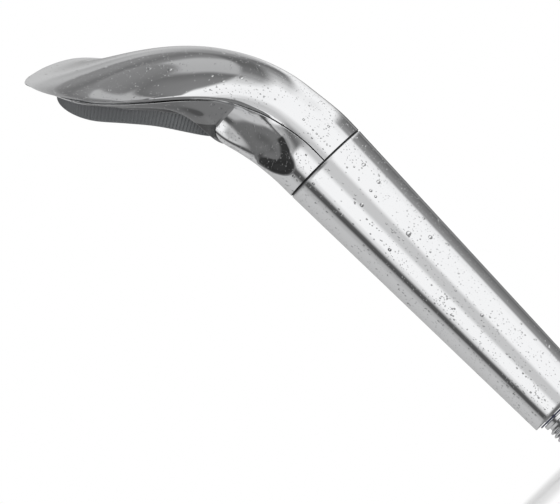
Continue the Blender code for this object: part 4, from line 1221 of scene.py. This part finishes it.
# ------------------------------------------------------------------ finishes of the CAD pieces
CAD_FINISHES = {
    'stainless': ("retaining_clip", "inlet_strainer", "valve_spring"),
    'seal_black': ("chamber_seal", "seam_gasket", "coupler_tube_seal", "coupler_elbow_seal",
                   "socket_seal", "swivel_seal_low", "swivel_seal_high", "poppet_seal"),
    'moulding_grey': ("water_chamber", "neck_collar", "tube_support_ring", "tube_coupler",
                      "tube_socket"),
    'tube_pale': ("feed_elbow", "water_tube"),
    'ring_navy': ("thrust_washer",),
    'valve_blue': ("flow_regulator", "valve_seat", "spring_stop", "valve_poppet"),
    'inlet_chrome': ("end_plug", "swivel_connector"),
    'head_chrome': ("head_top_shell", "head_bottom_shell"),
    'handle_chrome': ("handle_sleeve",),
    'rim_chrome': ("face_bezel",),
    'plate_grey': ("spray_plate",),
    'nozzle_silicone': ("nozzle_mat",),
}


class SPRAYER_OT_inner_pieces(bpy.types.Operator):
    """Give every piece of the frame its finish"""
    bl_idname = "sprayer.inner_pieces"
    bl_label = "Inner pieces"

    def execute(self, context):
        made = finishes()
        for finish, nodes in CAD_FINISHES.items():
            for node in nodes:
                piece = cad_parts[node]
                piece.data.materials.clear()
                piece.data.materials.append(made[finish])
        return {'FINISHED'}


# ------------------------------------------------------------------ panel and registering
BUILD_ORDER = ("camera", "stage", "inner_pieces", "back_shell", "under_shell", "bezel",
               "spray_plate", "nozzles", "handle", "inlet")


class SPRAYER_PT_panel(bpy.types.Panel):
    """Sizes, colours and building steps of the sprayer"""
    bl_idname = "SPRAYER_PT_panel"
    bl_label = "Handheld bath sprayer"
    bl_space_type = 'VIEW_3D'
    bl_region_type = 'UI'
    bl_category = "Sprayer"

    def draw(self, context):
        for group in (context.scene.sprayer_shapes, context.scene.sprayer_colours,
                      context.scene.sprayer_stage):
            box = self.layout.box()
            for key in group.bl_rna.properties.keys():
                if key not in {"rna_type", "name"}:
                    box.prop(group, key)
        for step in BUILD_ORDER:
            self.layout.operator("sprayer." + step)


CLASSES = (SprayerShapes, SprayerColours, SprayerStage, SPRAYER_OT_camera, SPRAYER_OT_stage,
           SPRAYER_OT_inner_pieces, SPRAYER_OT_back_shell, SPRAYER_OT_under_shell,
           SPRAYER_OT_bezel, SPRAYER_OT_spray_plate, SPRAYER_OT_nozzles, SPRAYER_OT_handle,
           SPRAYER_OT_inlet, SPRAYER_PT_panel)


def register():
    for cls in CLASSES:
        bpy.utils.register_class(cls)
    bpy.types.Scene.sprayer_shapes = PointerProperty(type=SprayerShapes)
    bpy.types.Scene.sprayer_colours = PointerProperty(type=SprayerColours)
    bpy.types.Scene.sprayer_stage = PointerProperty(type=SprayerStage)


def unregister():
    del bpy.types.Scene.sprayer_stage
    del bpy.types.Scene.sprayer_colours
    del bpy.types.Scene.sprayer_shapes
    for cls in reversed(CLASSES):
        bpy.utils.unregister_class(cls)


def main():
    register()
    for step in BUILD_ORDER:
        getattr(bpy.ops.sprayer, step)()


if __name__ == "__main__":
    main()
